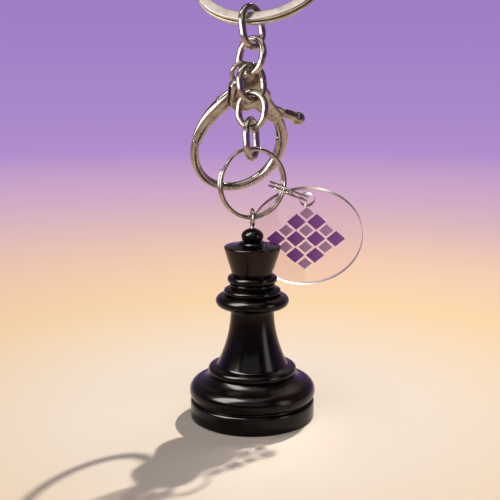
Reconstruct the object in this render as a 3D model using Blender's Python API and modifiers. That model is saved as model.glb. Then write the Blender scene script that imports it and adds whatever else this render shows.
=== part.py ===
"""Chess queen key chain.

A turned queen hangs by a screw eye from a split ring, which a chain of five links joins to a flat split
key ring. A lobster clasp hangs beside the chain, and a clear disc hangs from a small split ring.

The origin is the point inside the top of the key ring where a hook or a hand holds it. Z is up and the
front looks along -Y. Flat pieces are drawn in their own XY plane, with Z towards the front.
"""

import math

import bmesh
import bpy
import numpy as np
from mathutils import Matrix, Vector

# Clearances, in metres
REST_GAP = 0.0003
COIL_GAP = 0.00045
SEAT_STEP = 0.00001
WELD = 0.000001
SHARP_ANGLE = math.radians(40)
EMPTY_SIZE = 0.004

# Split rings: where the wire starts, leaves its first turn, reaches its second turn and ends
SPLIT_START = math.radians(24)
SPLIT_LEAVE = math.radians(338)
SPLIT_ARRIVE = math.radians(382)
SPLIT_END = math.radians(696)

# Flat split key ring
KEY_RING_DIAMETER = 0.035
KEY_RING_WIDTH = 0.0026
KEY_RING_THICKNESS = 0.0009
KEY_RING_CORNER = 0.0003
KEY_RING_LEAN = math.radians(44)
KEY_RING_TURN = math.radians(-14)
KEY_RING_SPLIT = math.radians(60)
KEY_RING_STEPS = 44

# Chain links
FIRST_LINK_LENGTH = 0.0106
LINK_LENGTH = 0.0095
LAST_LINK_LENGTH = 0.0105
LINK_WIDTH = 0.0087
LINK_WIRE = 0.0013
LINK_ARM_WIRE = 0.0018
LINK_SWELL = 4
LINK_SLIT = 0.0002
LINK_BEND_STEPS = 13
LINK_TURNS = [math.radians(angle) for angle in (48, -38, 34, -24, 70)]
LINK_TILTS = [math.radians(angle) for angle in (-8, 15, -7, 7, -3)]
LINK_SEATS = [math.radians(angle) for angle in (0, 0, 20, 0, 0)]

# Lobster clasp
CLASP_TURN = math.radians(22)
CLASP_LEAN = math.radians(-28)
CLASP_ROLL = math.radians(10)
CLASP_SEAT = math.radians(-44)
CLASP_LOOP_BORE = 0.0037
CLASP_LOOP_WIRE = 0.0012
CLASP_THICKNESS = 0.0034
CLASP_EDGE = 0.0007
CLASP_PIVOT_DROP = 0.0074
CLASP_PIVOT_SIDE = 0.0014
CLASP_CHEEK_RADIUS = 0.0050
CLASP_SHOULDER_RADIUS = 0.0066
CLASP_EYE_CORNER = (0.75, 0.35)
CLASP_NECK_KNOTS = ((118, 1), (136, 0.95))
CLASP_CHEEK_KNOTS = ((158, 1), (178, 1), (206, 0.94), (232, 0.78), (266, 0.72), (298, 0.8))
CLASP_SHOULDER_KNOTS = ((-12, 1), (14, 0.9))
CLASP_LOOP_SEAT = 0.7
HOOK_WIDTH = 0.0240
HOOK_LENGTH = 0.0258
HOOK_OFFSET = -0.0006
HOOK_DROP = 0.0219
HOOK_ROOT_WIRE = 0.0036
HOOK_TIP_WIRE = 0.0022
HOOK_ROOT_ANGLE = math.radians(48)
HOOK_OVERLAP = math.radians(16)
HOOK_SHOULDER = 0.45
HOOK_TAPER_RATE = 1.6
HOOK_STEPS = 30
GATE_TIP_ANGLE = math.radians(161)
GATE_SEAM_SPARE = 0.0012
GATE_PLATE = 0.0012
GATE_ROOT_WIRE = 0.0046
GATE_TIP_WIDTH = 0.0027
GATE_FLATNESS = 0.72
GATE_BOW = 0.0026
GATE_ROOT_ANGLE = math.radians(182)
GATE_WEB = 0.003
GATE_ARM_START = -0.12
GATE_OPENING = math.radians(28)
HUB_DIAMETER = 0.0044
PIN_DIAMETER = 0.0018
LEVER_REACH = 0.0172
LEVER_ANGLE = math.radians(-33)
LEVER_WEB = 0.0018
LEVER_NECK = 0.0021
LEVER_NECK_START = 0.0132
LEVER_BALL = 0.0034
SPRING_WIRE = 0.00025
SPRING_DIAMETER = 0.0012
SPRING_TURNS = 3
SPRING_STEPS = 10
SPRING_ROOM = math.radians(20)

# Split ring that carries the queen
CHARM_RING_DIAMETER = 0.018
CHARM_RING_WIRE = 0.0009
CHARM_RING_TURN = math.radians(22)
CHARM_RING_SPLIT = math.radians(130)
CHARM_RING_STEPS = 40

# Screw eye
EYE_BORE = 0.0030
EYE_WIRE = 0.0009
EYE_NECK_BEND = 0.0008
EYE_SHANK = 0.0085
EYE_TURN = math.radians(98)

# Tag ring and tag disc
TAG_RING_DIAMETER = 0.0109
TAG_RING_WIRE = 0.00055
TAG_RING_SLOPE = math.radians(-22)
TAG_RING_TILT = math.radians(-5)
TAG_CROSSING = math.radians(-15)
TAG_RING_SIDE = 0.0017
TAG_RING_SPLIT = math.radians(80)
TAG_RING_STEPS = 28
TAG_DISC_DIAMETER = 0.03
TAG_DISC_THICKNESS = 0.0015
TAG_HOLE_DIAMETER = 0.0037
TAG_HOLE_EDGE = 0.0015
TAG_DISC_LEAN = math.radians(-22.6)

# Queen, from the underside up
QUEEN_HEIGHT = 0.0491
PLINTH_DIAMETER = 0.0320
PLINTH_HEIGHT = 0.0048
BELL_DIAMETER = 0.0324
BELL_HEIGHT = 0.0108
BELL_RIM_TOP = 0.0089
BELL_SINK = 0.0010
BELL_SHOULDER = ((0.0012, 0.0001), (0.0022, 0.0005), (0.0030, 0.0010))
ASTRAGAL_DIAMETER = 0.0227
ASTRAGAL_HEIGHT = 0.0138
STEM_FOOT_DIAMETER = 0.0182
STEM_NECK_DIAMETER = 0.011
STEM_HEIGHT = 0.0285
STEM_START = 0.06
COLLAR_DIAMETER = 0.0187
COLLAR_HEIGHT = 0.0322
COLLAR_SINK = 0.0021
FLANGE_DIAMETER = 0.0145
FLANGE_HEIGHT = 0.0345
BEAD_DIAMETER = 0.0127
BEAD_HEIGHT = 0.0371
BEAD_THICKNESS = 0.0019
BEAD_SINK = 0.0009
CROWN_FOOT_DIAMETER = 0.0101
CROWN_DIAMETER = 0.0143
CROWN_HEIGHT = 0.0446
FINIAL_DIAMETER = 0.0056
FINIAL_FOOT_ANGLE = math.radians(-25)
FINIAL_COLLAR_DIAMETER = 0.0067
FINIAL_COLLAR_THICKNESS = 0.0009
FINIAL_COLLAR_SINK = 0.0005
EDGE_ROUND = 0.0004
QUEEN_STEPS = 36

# Values that follow from the driving dimensions
LINK_BEND = (LINK_WIDTH - LINK_ARM_WIRE) / 2
LINK_LENGTHS = [FIRST_LINK_LENGTH] + [LINK_LENGTH] * (len(LINK_TURNS) - 2) + [LAST_LINK_LENGTH]
KEY_RING_PATH = (KEY_RING_DIAMETER - KEY_RING_WIDTH) / 2
CHARM_RING_PATH = (CHARM_RING_DIAMETER - CHARM_RING_WIRE) / 2
TAG_RING_PATH = (TAG_RING_DIAMETER - TAG_RING_WIRE) / 2
EYE_PATH = (EYE_BORE + EYE_WIRE) / 2
LOOP_PATH = (CLASP_LOOP_BORE + CLASP_LOOP_WIRE) / 2
SLOT_WIDTH = GATE_PLATE + 2 * REST_GAP
PIVOT = Vector((CLASP_PIVOT_SIDE, -CLASP_PIVOT_DROP, 0))
HOOK_CENTRE = Vector((HOOK_OFFSET, -HOOK_DROP, 0))
UP = Vector((0, 0, 1))

NICKEL = ("nickel_plate", (0.56, 0.53, 0.49, 1), 0.22, 1.0)
STEEL = ("polished_steel", (0.60, 0.57, 0.53, 1), 0.18, 1.0)
LACQUER = ("black_lacquer", (0.012, 0.010, 0.012, 1), 0.25, 0.0)
ACRYLIC = ("clear_acrylic", (0.92, 0.86, 0.92, 0.3), 0.05, 0.0)
SPRING_STEEL = ("spring_steel", (0.42, 0.41, 0.40, 1), 0.3, 1.0)


def clear_scene():
    """Remove every object that the file opens with."""
    for item in list(bpy.data.objects):
        bpy.data.objects.remove(item)


def new_collection(name):
    """Return a new collection in the scene."""
    group = bpy.data.collections.new(name)
    bpy.context.scene.collection.children.link(group)
    return group


def material(spec):
    """Return the Principled material of a finish, made once."""
    name, colour, roughness, metallic = spec
    found = bpy.data.materials.get(name)
    if found:
        return found
    made = bpy.data.materials.new(name)
    made.use_nodes = True
    shader = made.node_tree.nodes["Principled BSDF"]
    shader.inputs["Base Color"].default_value = colour
    shader.inputs["Roughness"].default_value = roughness
    shader.inputs["Metallic"].default_value = metallic
    shader.inputs["Alpha"].default_value = colour[3]
    return made


def stand(turn, lean=0.0):
    """Stand a flat piece up, lean its top back and turn it about the vertical."""
    return (Matrix.Rotation(turn, 4, "Z") @ Matrix.Rotation(-lean, 4, "X")
            @ Matrix.Rotation(math.pi / 2, 4, "X"))


def moved(matrix, points):
    """Return points, one a row, after a 4 by 4 transform."""
    frame = np.array(matrix)
    return np.asarray(points) @ frame[:3, :3].T + frame[:3, 3]


def nearest(first, second):
    """Return the least distance between two sets of points."""
    steps = first[:, None, :] - second[None, :, :]
    return math.sqrt((steps ** 2).sum(axis=2).min())


def dense(path):
    """Return a path with more points on each of its straight steps."""
    places = np.linspace(0, len(path) - 1, 8 * len(path))
    return np.stack([np.interp(places, np.arange(len(path)), path[:, axis]) for axis in range(3)], axis=1)


def self_gap(path, per_turn, thickness):
    """Return the least gap of a wound wire to itself, for points over half a turn apart."""
    apart = per_turn * 2 // 3
    least = min(nearest(path[i:i + 1], path[i + apart:]) for i in range(len(path) - apart))
    return least - thickness


def hang(upper, lower, top, pose, seat, reach):
    """Return the transform of a wire that hangs on another one.

    The seat is a point of the upper wire and its direction there. The lower wire's top starts at the seat
    and rises square to both wires until it clears the upper one by reach.
    """
    point, along = seat
    lift = along.cross(pose.to_3x3() @ Vector((1, 0, 0))).normalized()
    lift *= math.copysign(1, lift.z)
    rise = reach
    place = point - pose @ top
    upper = dense(upper)
    lower = dense(lower)
    while nearest(upper, moved(Matrix.Translation(place + lift * rise) @ pose, lower)) < reach:
        rise += SEAT_STEP
    return Matrix.Translation(place + lift * rise) @ pose


def arc(centre, radius, start, stop, count):
    """Return points on a circle in the XY plane, ends included."""
    angles = np.linspace(start, stop, count)
    return np.stack([centre[0] + radius * np.cos(angles), centre[1] + radius * np.sin(angles),
                     np.zeros(count)], axis=1)


def link_half(length):
    """Return the height of the centre of a link's bend over the link's middle."""
    return (length - LINK_WIRE) / 2 - LINK_BEND


def link_radius(across):
    """Return the wire's radius at a distance from the link's middle: arms are thicker than bends."""
    share = (abs(across) / LINK_BEND) ** LINK_SWELL
    return (LINK_WIRE + (LINK_ARM_WIRE - LINK_WIRE) * share) / 2


def link_path(length):
    """Return the centre line of a link about its middle, from one side of its slit to the other."""
    half = link_half(length)
    top = arc((0, half), LINK_BEND, 0, math.pi, LINK_BEND_STEPS)
    bottom = arc((0, -half), LINK_BEND, math.pi, 2 * math.pi, LINK_BEND_STEPS)
    start = np.array([[LINK_BEND, LINK_SLIT / 2, 0]])
    end = np.array([[LINK_BEND, -LINK_SLIT / 2, 0]])
    return np.concatenate([start, top, bottom, end])


def bend_point(matrix, length, angle):
    """Return a point on a link's lower bend, and the wire's direction there.

    The angle counts from the lowest point towards the link's own +X.
    """
    local = Vector((LINK_BEND * math.sin(angle), -link_half(length) - LINK_BEND * math.cos(angle), 0))
    along = Vector((math.cos(angle), math.sin(angle), 0))
    return matrix @ local, matrix.to_3x3() @ along


def split_ring_path(radius, spacing, per_turn, start):
    """Return the centre line of a split ring: two turns side by side, joined by one slanting stretch."""
    count = round(per_turn * (SPLIT_END - SPLIT_START) / (2 * math.pi))
    points = []
    for angle in np.linspace(SPLIT_START, SPLIT_END, count):
        share = min(max((angle - SPLIT_LEAVE) / (SPLIT_ARRIVE - SPLIT_LEAVE), 0), 1)
        height = spacing * (share * share * (3 - 2 * share) - 0.5)
        points.append((radius * math.cos(angle + start), radius * math.sin(angle + start), height))
    return np.array(points)


def curve_object(name, path, radii, sides_level, group):
    """Return a wire: a POLY curve with round section, filled caps and a radius at each point."""
    data = bpy.data.curves.new(name, "CURVE")
    data.dimensions = "3D"
    data.twist_mode = "MINIMUM"
    data.bevel_depth = 1.0
    data.bevel_resolution = sides_level
    data.use_fill_caps = True
    spline = data.splines.new("POLY")
    spline.points.add(len(path) - 1)
    for spot, place, radius in zip(spline.points, path, radii):
        spot.co = (*place, 1)
        spot.radius = radius
    item = bpy.data.objects.new(name, data)
    group.objects.link(item)
    return item


def wire(name, path, thickness, sides_level, group):
    """Return a wire of one thickness."""
    return curve_object(name, path, [thickness / 2] * len(path), sides_level, group)


def to_mesh(item):
    """Replace a curve object by a mesh with welded caps."""
    group = item.users_collection[0]
    graph = bpy.context.evaluated_depsgraph_get()
    data = bpy.data.meshes.new_from_object(item.evaluated_get(graph))
    shape = bmesh.new()
    shape.from_mesh(data)
    bmesh.ops.remove_doubles(shape, verts=shape.verts, dist=WELD)
    bmesh.ops.recalc_face_normals(shape, faces=shape.faces)
    shape.to_mesh(data)
    shape.free()
    name = item.name
    matrix = item.matrix_world.copy()
    bpy.data.objects.remove(item)
    made = bpy.data.objects.new(name, data)
    made.matrix_world = matrix
    group.objects.link(made)
    return made


def plate(name, outline, thickness, group):
    """Return an extruded outline as a mesh, centred on its own XY plane."""
    data = bpy.data.curves.new(name, "CURVE")
    data.dimensions = "2D"
    data.fill_mode = "BOTH"
    data.extrude = thickness / 2
    spline = data.splines.new("POLY")
    spline.points.add(len(outline) - 1)
    for spot, place in zip(spline.points, outline):
        spot.co = (place[0], place[1], 0, 1)
    spline.use_cyclic_u = True
    item = bpy.data.objects.new(name, data)
    group.objects.link(item)
    return to_mesh(item)


def smooth_loop(corners, steps):
    """Return a closed Catmull-Rom curve through corners, with some steps between each two."""
    knots = np.asarray(corners, dtype=float)
    points = []
    for index in range(len(knots)):
        before, here, after, beyond = (knots[(index + shift) % len(knots)] for shift in (-1, 0, 1, 2))
        for share in np.arange(steps) / steps:
            points.append(0.5 * (2 * here + (after - before) * share
                                 + (2 * before - 5 * here + 4 * after - beyond) * share ** 2
                                 + (3 * here - before - 3 * after + beyond) * share ** 3))
    return np.array(points)


def boolean(item, other, operation):
    """Join or cut a mesh with another one, and apply it."""
    step = item.modifiers.new(operation.lower(), "BOOLEAN")
    step.operation = operation
    step.solver = "EXACT"
    step.object = other
    graph = bpy.context.evaluated_depsgraph_get()
    data = bpy.data.meshes.new_from_object(item.evaluated_get(graph))
    item.modifiers.remove(step)
    item.data = data
    return item


def hide_cutter(item):
    """Mark an object as a guide that isn't a piece of the key chain."""
    item.hide_render = True
    item.display_type = "WIRE"


def finish(item, spec):
    """Give a piece its material and smooth shading with sharp corners kept."""
    item.data.materials.clear()
    item.data.materials.append(material(spec))
    if item.type == "MESH":
        item.data.shade_smooth()
        item.data.set_sharp_from_angle(angle=SHARP_ANGLE)
    return item


def joint_empty(name, seat, parent, group):
    """Return an empty on a hinge, with its own Z along the hinge's axis."""
    point, along = seat
    item = bpy.data.objects.new("joint_" + name, None)
    item.empty_display_size = EMPTY_SIZE
    group.objects.link(item)
    pose = along.to_track_quat("Z", "Y").to_matrix().to_4x4()
    attach(item, Matrix.Translation(point) @ pose, parent)
    return item


def attach(item, matrix, parent):
    """Place an object in the world and parent it without moving it."""
    item.matrix_basis = matrix
    if parent:
        bpy.context.view_layer.update()
        item.parent = parent
        item.matrix_parent_inverse = parent.matrix_world.inverted()
    bpy.context.view_layer.update()


def flat_ring_section(guides):
    """Return the section of the key ring's wire: a rectangle with cut corners, as a closed curve."""
    data = bpy.data.curves.new("key_ring_section", "CURVE")
    data.dimensions = "2D"
    across = KEY_RING_WIDTH / 2
    up = KEY_RING_THICKNESS / 2
    cut = KEY_RING_CORNER
    outline = [(across, up - cut), (across - cut, up), (cut - across, up), (-across, up - cut),
               (-across, cut - up), (cut - across, -up), (across - cut, -up), (across, cut - up)]
    spline = data.splines.new("POLY")
    spline.points.add(len(outline) - 1)
    for spot, place in zip(spline.points, outline):
        spot.co = (*place, 0, 1)
    spline.use_cyclic_u = True
    item = bpy.data.objects.new("key_ring_section", data)
    guides.objects.link(item)
    hide_cutter(item)
    return item


def make_key_ring(parts, guides):
    """Make the key ring, and return it with its transform and the edges of its section."""
    spacing = KEY_RING_THICKNESS + COIL_GAP
    path = split_ring_path(KEY_RING_PATH, spacing, KEY_RING_STEPS, KEY_RING_SPLIT)
    data = bpy.data.curves.new("key_ring", "CURVE")
    data.dimensions = "3D"
    data.twist_mode = "Z_UP"
    data.bevel_mode = "OBJECT"
    data.bevel_object = flat_ring_section(guides)
    data.use_fill_caps = True
    spline = data.splines.new("POLY")
    spline.points.add(len(path) - 1)
    for spot, place in zip(spline.points, path):
        spot.co = (*place, 1)
    item = bpy.data.objects.new("key_ring", data)
    parts.objects.link(item)
    item = to_mesh(item)
    pose = stand(KEY_RING_TURN, KEY_RING_LEAN)
    hold = Vector((0, KEY_RING_PATH - KEY_RING_WIDTH / 2, 0))
    matrix = Matrix.Translation(-(pose @ hold)) @ pose
    attach(item, matrix, None)
    finish(item, STEEL)
    gap = self_gap(path, KEY_RING_STEPS, KEY_RING_THICKNESS)
    print("key_ring gap to itself", round(1000 * gap, 3), "mm")
    edges = []
    for across in (-KEY_RING_WIDTH / 2, KEY_RING_WIDTH / 2):
        for height in (-spacing - COIL_GAP, spacing + COIL_GAP):
            ring = arc((0, 0), KEY_RING_PATH + across, -math.pi, 0, 120)
            ring[:, 2] = height / 2 + math.copysign(KEY_RING_THICKNESS - COIL_GAP, height) / 2
            edges.append(ring)
    return item, matrix, moved(matrix, np.concatenate(edges))


def make_links(parts, ring, ring_matrix, ring_edges):
    """Make the five links, each hung on the one before, and return their transforms and joints."""
    seat = ring_matrix @ Vector((0, -KEY_RING_PATH, 0)), ring_matrix.to_3x3() @ Vector((1, 0, 0))
    upper = ring_edges
    reach = LINK_WIRE / 2 + REST_GAP
    parent = ring
    matrices = []
    joints = []
    for index, (turn, tilt, length) in enumerate(zip(LINK_TURNS, LINK_TILTS, LINK_LENGTHS)):
        path = link_path(length)
        top = Vector((0, (length - LINK_WIRE) / 2, 0))
        name = f"chain_link_{index + 1}"
        pose = Matrix.Rotation(tilt, 4, "Y") @ stand(turn)
        matrix = hang(upper, path, top, pose, seat, reach)
        joint = joint_empty(name, seat, parent, parts)
        item = curve_object(name, path, [link_radius(spot[0]) for spot in path], 2, parts)
        attach(item, matrix, joint)
        finish(item, NICKEL)
        matrices.append(matrix)
        joints.append(joint)
        parent = joint
        if index + 1 < len(LINK_TURNS):
            side = LINK_SEATS[index + 1]
            seat = bend_point(matrix, length, side)
            upper = moved(matrix, path)
            reach = link_radius(LINK_BEND * math.sin(side)) + LINK_WIRE / 2 + REST_GAP
    return matrices, joints


def polar(angle, distance):
    """Return a point of the clasp's plane by its angle and distance from the gate's pivot."""
    return PIVOT + Vector((math.cos(angle), math.sin(angle), 0)) * distance


def hook_point(angle):
    """Return a point on the hook's centre line."""
    return HOOK_CENTRE + Vector((math.cos(angle) * HOOK_WIDTH, math.sin(angle) * HOOK_LENGTH, 0)) / 2


def hook_direction(angle):
    """Return the direction of the hook's centre line, towards a greater angle."""
    return Vector((-math.sin(angle) * HOOK_WIDTH, math.cos(angle) * HOOK_LENGTH, 0)).normalized()


def around_pivot(knots, distance):
    """Return points about the pivot, from angles in degrees and shares of a distance."""
    return [polar(math.radians(angle), distance * share)[:2] for angle, share in knots]


def clasp_outline():
    """Return the outline of the clasp's housing: eye end, round left cheek, arch and right shoulder."""
    eye = LOOP_PATH + CLASP_LOOP_WIRE / 2
    corner, rise = CLASP_EYE_CORNER
    root = hook_point(HOOK_ROOT_ANGLE - HOOK_OVERLAP)
    outward = (root - HOOK_CENTRE).normalized() * HOOK_ROOT_WIRE * HOOK_SHOULDER
    knots = [(-corner * eye, rise * eye),
             *around_pivot(CLASP_NECK_KNOTS, CLASP_SHOULDER_RADIUS),
             *around_pivot(CLASP_CHEEK_KNOTS, CLASP_CHEEK_RADIUS),
             (root - outward)[:2],
             (root + outward)[:2],
             *around_pivot(CLASP_SHOULDER_KNOTS, CLASP_SHOULDER_RADIUS),
             (corner * eye, rise * eye)]
    return smooth_loop(knots, 4)


def taper_to_eye(item):
    """Thin the housing towards the eye."""
    thin = CLASP_LOOP_WIRE / CLASP_THICKNESS
    full = -CLASP_PIVOT_DROP
    for spot in item.data.vertices:
        share = min(max((LOOP_PATH - spot.co.y) / (LOOP_PATH - full), 0), 1)
        spot.co.z *= thin + (1 - thin) * share


def wedge(name, span, inner, outer, thickness, guides):
    """Return a slice of a ring about the pivot, as a cutter."""
    angles = np.linspace(span[0], span[1], 7)
    rim = [polar(angle, outer)[:2] for angle in angles]
    root = [polar(angle, inner)[:2] for angle in reversed(angles)]
    item = plate(name, [*rim, *root], thickness, guides)
    hide_cutter(item)
    return item


def cylinder(name, diameter, depth, sides, group):
    """Return a cylinder along Z about the gate's pivot."""
    data = bpy.data.meshes.new(name)
    shape = bmesh.new()
    bmesh.ops.create_cone(shape, cap_ends=True, segments=sides, radius1=diameter / 2, radius2=diameter / 2,
                          depth=depth, matrix=Matrix.Translation(PIVOT))
    shape.to_mesh(data)
    shape.free()
    item = bpy.data.objects.new(name, data)
    group.objects.link(item)
    return item


def half_angle(width, diameter):
    """Return half the angle that a straight arm takes up where it meets a circle."""
    return math.asin(width / diameter)


def tip_angle():
    """Return the direction from the pivot to the hook's tip."""
    tip = hook_point(GATE_TIP_ANGLE) - PIVOT
    return math.atan2(tip.y, tip.x) % (2 * math.pi)


def make_clasp_body(parts, guides):
    """Make the clasp's casting: eye, housing and hook in one, with the gate's slot and the pin's bore."""
    body = plate("clasp_body", clasp_outline(), CLASP_THICKNESS, parts)
    taper_to_eye(body)
    soften = body.modifiers.new("edge", "BEVEL")
    soften.width = CLASP_EDGE
    soften.segments = 2
    soften.use_clamp_overlap = True
    soften.limit_method = "ANGLE"
    soften.angle_limit = math.radians(50)
    graph = bpy.context.evaluated_depsgraph_get()
    rounded = bpy.data.meshes.new_from_object(body.evaluated_get(graph))
    body.modifiers.clear()
    body.data = rounded
    spare = GATE_SEAM_SPARE * 2 / HOOK_LENGTH
    angles = np.linspace(HOOK_ROOT_ANGLE, GATE_TIP_ANGLE - spare - 2 * math.pi, HOOK_STEPS)
    shares = np.minimum(np.linspace(0, HOOK_TAPER_RATE, HOOK_STEPS), 1)
    radii = (HOOK_ROOT_WIRE + (HOOK_TIP_WIRE - HOOK_ROOT_WIRE) * shares) / 2
    hook = to_mesh(curve_object("hook", [hook_point(angle) for angle in angles], radii, 2, guides))
    loop_points = arc((0, 0), LOOP_PATH, 0, 2 * math.pi, 29)[:-1]
    loop = wire("clasp_loop", loop_points, CLASP_LOOP_WIRE, 2, guides)
    loop.data.splines[0].use_cyclic_u = True
    loop = to_mesh(loop)
    seat = CLASP_LOOP_BORE + CLASP_LOOP_SEAT * CLASP_LOOP_WIRE
    loop_seat = cylinder("loop_seat", seat, 2 * CLASP_THICKNESS, 26, guides)
    loop_seat.data.transform(Matrix.Translation(-PIVOT))
    boolean(body, loop_seat, "DIFFERENCE")
    for shape in (hook, loop):
        boolean(body, shape, "UNION")
        hide_cutter(shape)
    far = CLASP_SHOULDER_RADIUS + HOOK_ROOT_WIRE
    near = HUB_DIAMETER / 4
    web = half_angle(GATE_WEB + 2 * REST_GAP, HUB_DIAMETER + 2 * REST_GAP)
    lever = half_angle(LEVER_WEB + 2 * REST_GAP, HUB_DIAMETER + 2 * REST_GAP)
    tip = half_angle(HOOK_ROOT_WIRE, gate_length())
    tip_span = (tip_angle() - tip, tip_angle() + tip)
    gate_span = (GATE_ROOT_ANGLE - web, GATE_ROOT_ANGLE + web + GATE_OPENING)
    lever_span = (LEVER_ANGLE - lever, LEVER_ANGLE + lever + GATE_OPENING + SPRING_ROOM)
    cutters = [
        wedge("tip_cut", tip_span, far, gate_length() + REST_GAP, CLASP_THICKNESS, guides),
        cylinder("hub_slot", HUB_DIAMETER + 2 * REST_GAP, SLOT_WIDTH, 28, guides),
        wedge("gate_slot", gate_span, near, far, SLOT_WIDTH, guides),
        wedge("lever_slot", lever_span, near, LEVER_REACH, SLOT_WIDTH, guides),
        cylinder("pin_bore", PIN_DIAMETER + 2 * REST_GAP, 2 * CLASP_THICKNESS, 20, guides),
    ]
    for cutter in cutters:
        boolean(body, cutter, "DIFFERENCE")
    for shape in (loop_seat, *cutters):
        hide_cutter(shape)
    return finish(body, NICKEL)


def gate_length():
    """Return the distance from the pivot to the gate's end face."""
    return (hook_point(GATE_TIP_ANGLE) - PIVOT).length


def gate_outline(web_reach):
    """Return the outline of the gate's flat core: hub, web of the arm and web of the lever."""
    hub = HUB_DIAMETER / 2
    points = []
    for angle, width, reach, turn in ((LEVER_ANGLE, LEVER_WEB, LEVER_NECK_START + LEVER_NECK, 0),
                                      (GATE_ROOT_ANGLE, GATE_WEB, web_reach, 2 * math.pi)):
        side = Vector((-math.sin(angle), math.cos(angle), 0)) * width / 2
        end = polar(angle, reach)
        points += [(end - side)[:2], (end + side)[:2]]
        start = angle + half_angle(width, HUB_DIAMETER)
        other = (LEVER_ANGLE, LEVER_WEB) if turn else (GATE_ROOT_ANGLE, GATE_WEB)
        stop = other[0] + turn - half_angle(other[1], HUB_DIAMETER)
        points += [polar(step, hub)[:2] for step in np.linspace(start, stop, 9)]
    return points


def make_clasp_gate(parts, guides):
    """Make the gate: hub, tapering arm and thumb lever in one piece, with a bore for the pin."""
    root = polar(GATE_ROOT_ANGLE, CLASP_CHEEK_RADIUS + REST_GAP)
    gate = plate("clasp_gate", gate_outline(CLASP_CHEEK_RADIUS + GATE_TIP_WIDTH), GATE_PLATE, parts)
    end = hook_point(GATE_TIP_ANGLE) + hook_direction(GATE_TIP_ANGLE) * GATE_SEAM_SPARE
    across = (end - root).normalized().cross(UP)
    bow = (root + end) / 2 + across * GATE_BOW
    shares = np.linspace(GATE_ARM_START, 1, 10)
    arm_path = [root * (1 - t) ** 2 + bow * 2 * t * (1 - t) + end * t ** 2 for t in shares]
    radii = [(GATE_ROOT_WIRE + (GATE_TIP_WIDTH - GATE_ROOT_WIRE) * t) / 2 for t in shares]
    arm = to_mesh(curve_object("gate_arm", arm_path, radii, 3, guides))
    arm.data.transform(Matrix.Diagonal((1, 1, GATE_FLATNESS, 1)))
    cheek = cylinder("cheek_room", 2 * CLASP_CHEEK_RADIUS + 3 * REST_GAP, 2 * CLASP_THICKNESS, 36, guides)
    boolean(arm, cheek, "DIFFERENCE")
    hide_cutter(cheek)
    neck_path = [polar(LEVER_ANGLE, reach) for reach in np.linspace(LEVER_NECK_START, LEVER_REACH, 4)]
    neck = to_mesh(wire("lever_neck", neck_path, LEVER_NECK, 2, guides))
    ball = sphere("lever_ball", neck_path[-1], LEVER_BALL, guides)
    for shape in (arm, neck, ball):
        boolean(gate, shape, "UNION")
        hide_cutter(shape)
    span = half_angle(GATE_ROOT_WIRE, gate_length())
    end_cut = wedge("gate_end", (tip_angle() - span, tip_angle() + span), gate_length(),
                    gate_length() + GATE_ROOT_WIRE, 2 * CLASP_THICKNESS, guides)
    bore = cylinder("gate_bore", PIN_DIAMETER + 2 * REST_GAP, 2 * CLASP_THICKNESS, 20, guides)
    for cutter in (end_cut, bore):
        boolean(gate, cutter, "DIFFERENCE")
        hide_cutter(cutter)
    return finish(gate, NICKEL)


def sphere(name, place, diameter, group):
    """Return a ball at a place in the clasp's plane."""
    data = bpy.data.meshes.new(name)
    shape = bmesh.new()
    bmesh.ops.create_uvsphere(shape, u_segments=16, v_segments=10, radius=diameter / 2,
                              matrix=Matrix.Translation(place))
    shape.to_mesh(data)
    shape.free()
    item = bpy.data.objects.new(name, data)
    group.objects.link(item)
    return item


def make_clasp_spring(parts):
    """Make the coil between the lever and the upper wall of its slot."""
    lower_angle = LEVER_ANGLE + half_angle(LEVER_WEB, HUB_DIAMETER)
    upper_angle = lower_angle + GATE_OPENING + SPRING_ROOM
    reach = (HUB_DIAMETER / 2 + CLASP_SHOULDER_RADIUS) / 2
    lower = polar(lower_angle, reach)
    upper = polar(upper_angle, reach)
    along = (upper - lower).normalized()
    lower = lower + along * (REST_GAP + SPRING_WIRE)
    upper = upper - along * (REST_GAP + SPRING_WIRE)
    across = along.cross(UP)
    radius = (SPRING_DIAMETER - SPRING_WIRE) / 2
    points = []
    for share in np.linspace(0, 1, SPRING_STEPS * SPRING_TURNS + 1):
        angle = 2 * math.pi * SPRING_TURNS * share
        points.append(lower.lerp(upper, share) + across * radius * math.cos(angle)
                      + UP * radius * math.sin(angle))
    path = np.array(points)
    gap = self_gap(path, SPRING_STEPS, SPRING_WIRE)
    print("clasp_spring gap to itself", round(1000 * gap, 3), "mm")
    item = wire("clasp_spring", path, SPRING_WIRE, 1, parts)
    return finish(item, SPRING_STEEL)


def make_clasp(parts, guides, link_matrix, link_joint):
    """Make the clasp and hang it by its eye beside the third link."""
    loop_points = arc((0, 0), LOOP_PATH, 0, 2 * math.pi, 73)
    seat = bend_point(link_matrix, LINK_LENGTH, CLASP_SEAT)
    matrix = hang(moved(link_matrix, link_path(LINK_LENGTH)), loop_points, Vector((0, LOOP_PATH, 0)),
                  stand(CLASP_TURN, CLASP_LEAN) @ Matrix.Rotation(CLASP_ROLL, 4, "Z"), seat,
                  link_radius(LINK_BEND * math.sin(CLASP_SEAT)) + CLASP_LOOP_WIRE / 2 + REST_GAP)
    swing = seat[0], link_matrix.to_3x3() @ Vector((1, 0, 0))
    joint = joint_empty("clasp", swing, link_joint, parts)
    pivot = matrix @ PIVOT, matrix.to_3x3() @ UP
    pivot_joint = joint_empty("clasp_gate", pivot, joint, parts)
    pin = finish(cylinder("clasp_pin", PIN_DIAMETER, CLASP_THICKNESS, 16, parts), STEEL)
    attach(make_clasp_body(parts, guides), matrix, joint)
    attach(make_clasp_gate(parts, guides), matrix, pivot_joint)
    attach(pin, matrix, joint)
    attach(make_clasp_spring(parts), matrix, joint)


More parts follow.
